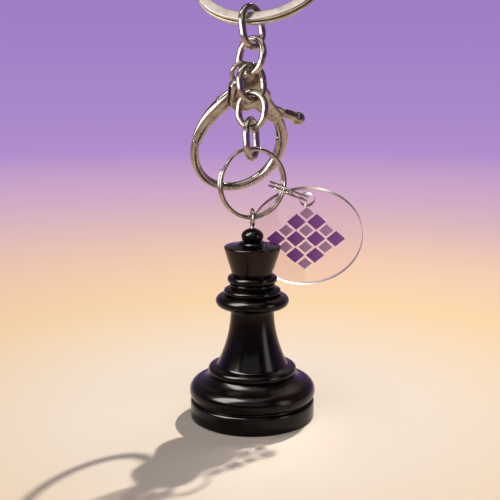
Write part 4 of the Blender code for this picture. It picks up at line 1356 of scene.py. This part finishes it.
@dataclass
class Studio:
    """The camera, the pale sweep that the queen stands on, and the lamps."""

    foot: Place = (-4.557, -22.732, -122.668)
    eye: Place = (-0.6, -234.7, 91.1)
    pitch: float = 11.46
    lens: float = 68.4
    sensor: float = 36.0
    sweep_back: float = 700.0
    sweep_round: float = 350.0
    sweep_top: float = 800.0
    sweep_steps: int = 128
    queen_aim: float = 40.0
    chain_aim: float = 80.0
    near_clip: float = 0.01
    far_clip: float = 20.0
    world_tone: str = "#48423f"

    def camera(self) -> None:
        """Set the camera at the photograph's angle."""
        data = bpy.data.cameras.new("camera")
        data.lens = self.lens
        data.sensor_width = self.sensor
        data.clip_start = self.near_clip
        data.clip_end = self.far_clip
        eye = bpy.data.objects.new("camera", data)
        bpy.context.scene.collection.objects.link(eye)
        eye.location = (Vector(self.foot) + Vector(self.eye)) * MM
        eye.rotation_euler = (math.radians(90 - self.pitch), 0, 0)
        bpy.context.scene.camera = eye

    def sweep(self) -> None:
        """Lay the paper: a round floor that curves up into a wall on all sides."""
        curve = arc((self.sweep_back, self.sweep_round), self.sweep_round, -90, 0, 24)
        line = [(0.0, 0.0), *((p.x, p.y) for p in curve), (self.sweep_back + self.sweep_round, self.sweep_top)]
        paper = turned("paper_sweep", line, self.sweep_steps)
        paper.location = Vector(self.foot) * MM
        bpy.ops.object.shade_smooth_by_angle(angle=SMOOTH_ANGLE)
        paper.data.materials.append(PAPER.material())

    def world(self) -> None:
        """Fill the room with a dim even light."""
        world = bpy.data.worlds.new("room")
        bpy.context.scene.world = world
        world.use_nodes = True
        feed(world.node_tree.nodes["Background"], {"Color": hex_linear(self.world_tone)})

    def build(self) -> None:
        """Set up camera, sweep, lamps and room."""
        bpy.context.scene.view_settings.view_transform = "Standard"
        self.camera()
        self.sweep()
        self.world()
        aim, chain = ((*self.foot[:2], self.foot[2] + up) for up in (self.queen_aim, self.chain_aim))
        for lamp in (
            Lamp("key_from_behind", (355.0, 649.0, 735.0), aim, 28.0, 28.0, 13.4, "#fff4e8", mirrored=False),
            Lamp("key_glint", (175.0, 313.0, 326.0), aim, 30.0, 30.0, 0.25, "#fff4e8", only=PlatedMetal),
            Lamp("left_box", (-262.0, -140.0, 258.0), aim, 220.0, 420.0, 8.0, "#fff8f2", only=Lacquer),
            Lamp("right_box", (353.0, -230.0, 10.0), aim, 130.0, 300.0, 0.5, "#fff8f2", only=Lacquer),
            Lamp("left_spark", (-310.0, -40.0, 330.0), aim, 120.0, 120.0, 0.45, "#fff8f2", only=PlatedMetal),
            Lamp("left_panel", (-360.0, -250.0, -20.0), chain, 640.0, 260.0, 2.6, "#fffaf5", only=PlatedMetal),
            Lamp("top_box", (-40.0, -120.0, 480.0), aim, 420.0, 420.0, 0.85, "#fffaf5"),
            Lamp("front_box", (-60.0, -620.0, 330.0), aim, 800.0, 400.0, 0.75, "#fffaf5"),
        ):
            lamp.build()


def main() -> None:
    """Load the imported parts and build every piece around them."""
    logging.basicConfig(level=logging.INFO, format="%(name)s: %(message)s")
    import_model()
    Studio().build()
    KeyRing("key_ring_coil", Fitting("key_ring", ("key_ring",), Slot.STEEL, STEEL),
            at((-2.504, -10.043, -10.718), stand(-14, 44)), 35.0, 0.9, 60).build()
    for link in (
        Link(1, (-4.648, -21.237, -24.291), 48, -8, 10.6),
        Link(2, (-4.908, -21.573, -31.269), -38, 15, 9.5),
        Link(3, (-4.758, -22.242, -37.703), 34, -7, 9.5),
        Link(4, (-4.717, -22.595, -44.221), -24, 7, 9.5),
        Link(5, (-4.817, -22.683, -51.264), 70, -3, 10.5),
    ):
        link.build()
    LobsterClasp().build()
    SplitRing("charm_ring_coil", Fitting("charm_ring", ("charm_ring",), Slot.NICKEL, NICKEL),
              at((-4.557, -22.732, -62.238), stand(22)), 18.0, 0.9, 130).build()
    ScrewEye().build()
    Queen().build()
    SplitRing("tag_ring_coil", Fitting("tag_ring", ("tag_ring",), Slot.NICKEL, NICKEL),
              at((4.677, -16.463, -65.088), spin(22, "Y") @ spin(-5, "X")), 10.9, 0.55, 80, steps=110, sides=6).build()
    Tag().build()


if __name__ == "__main__":
    main()
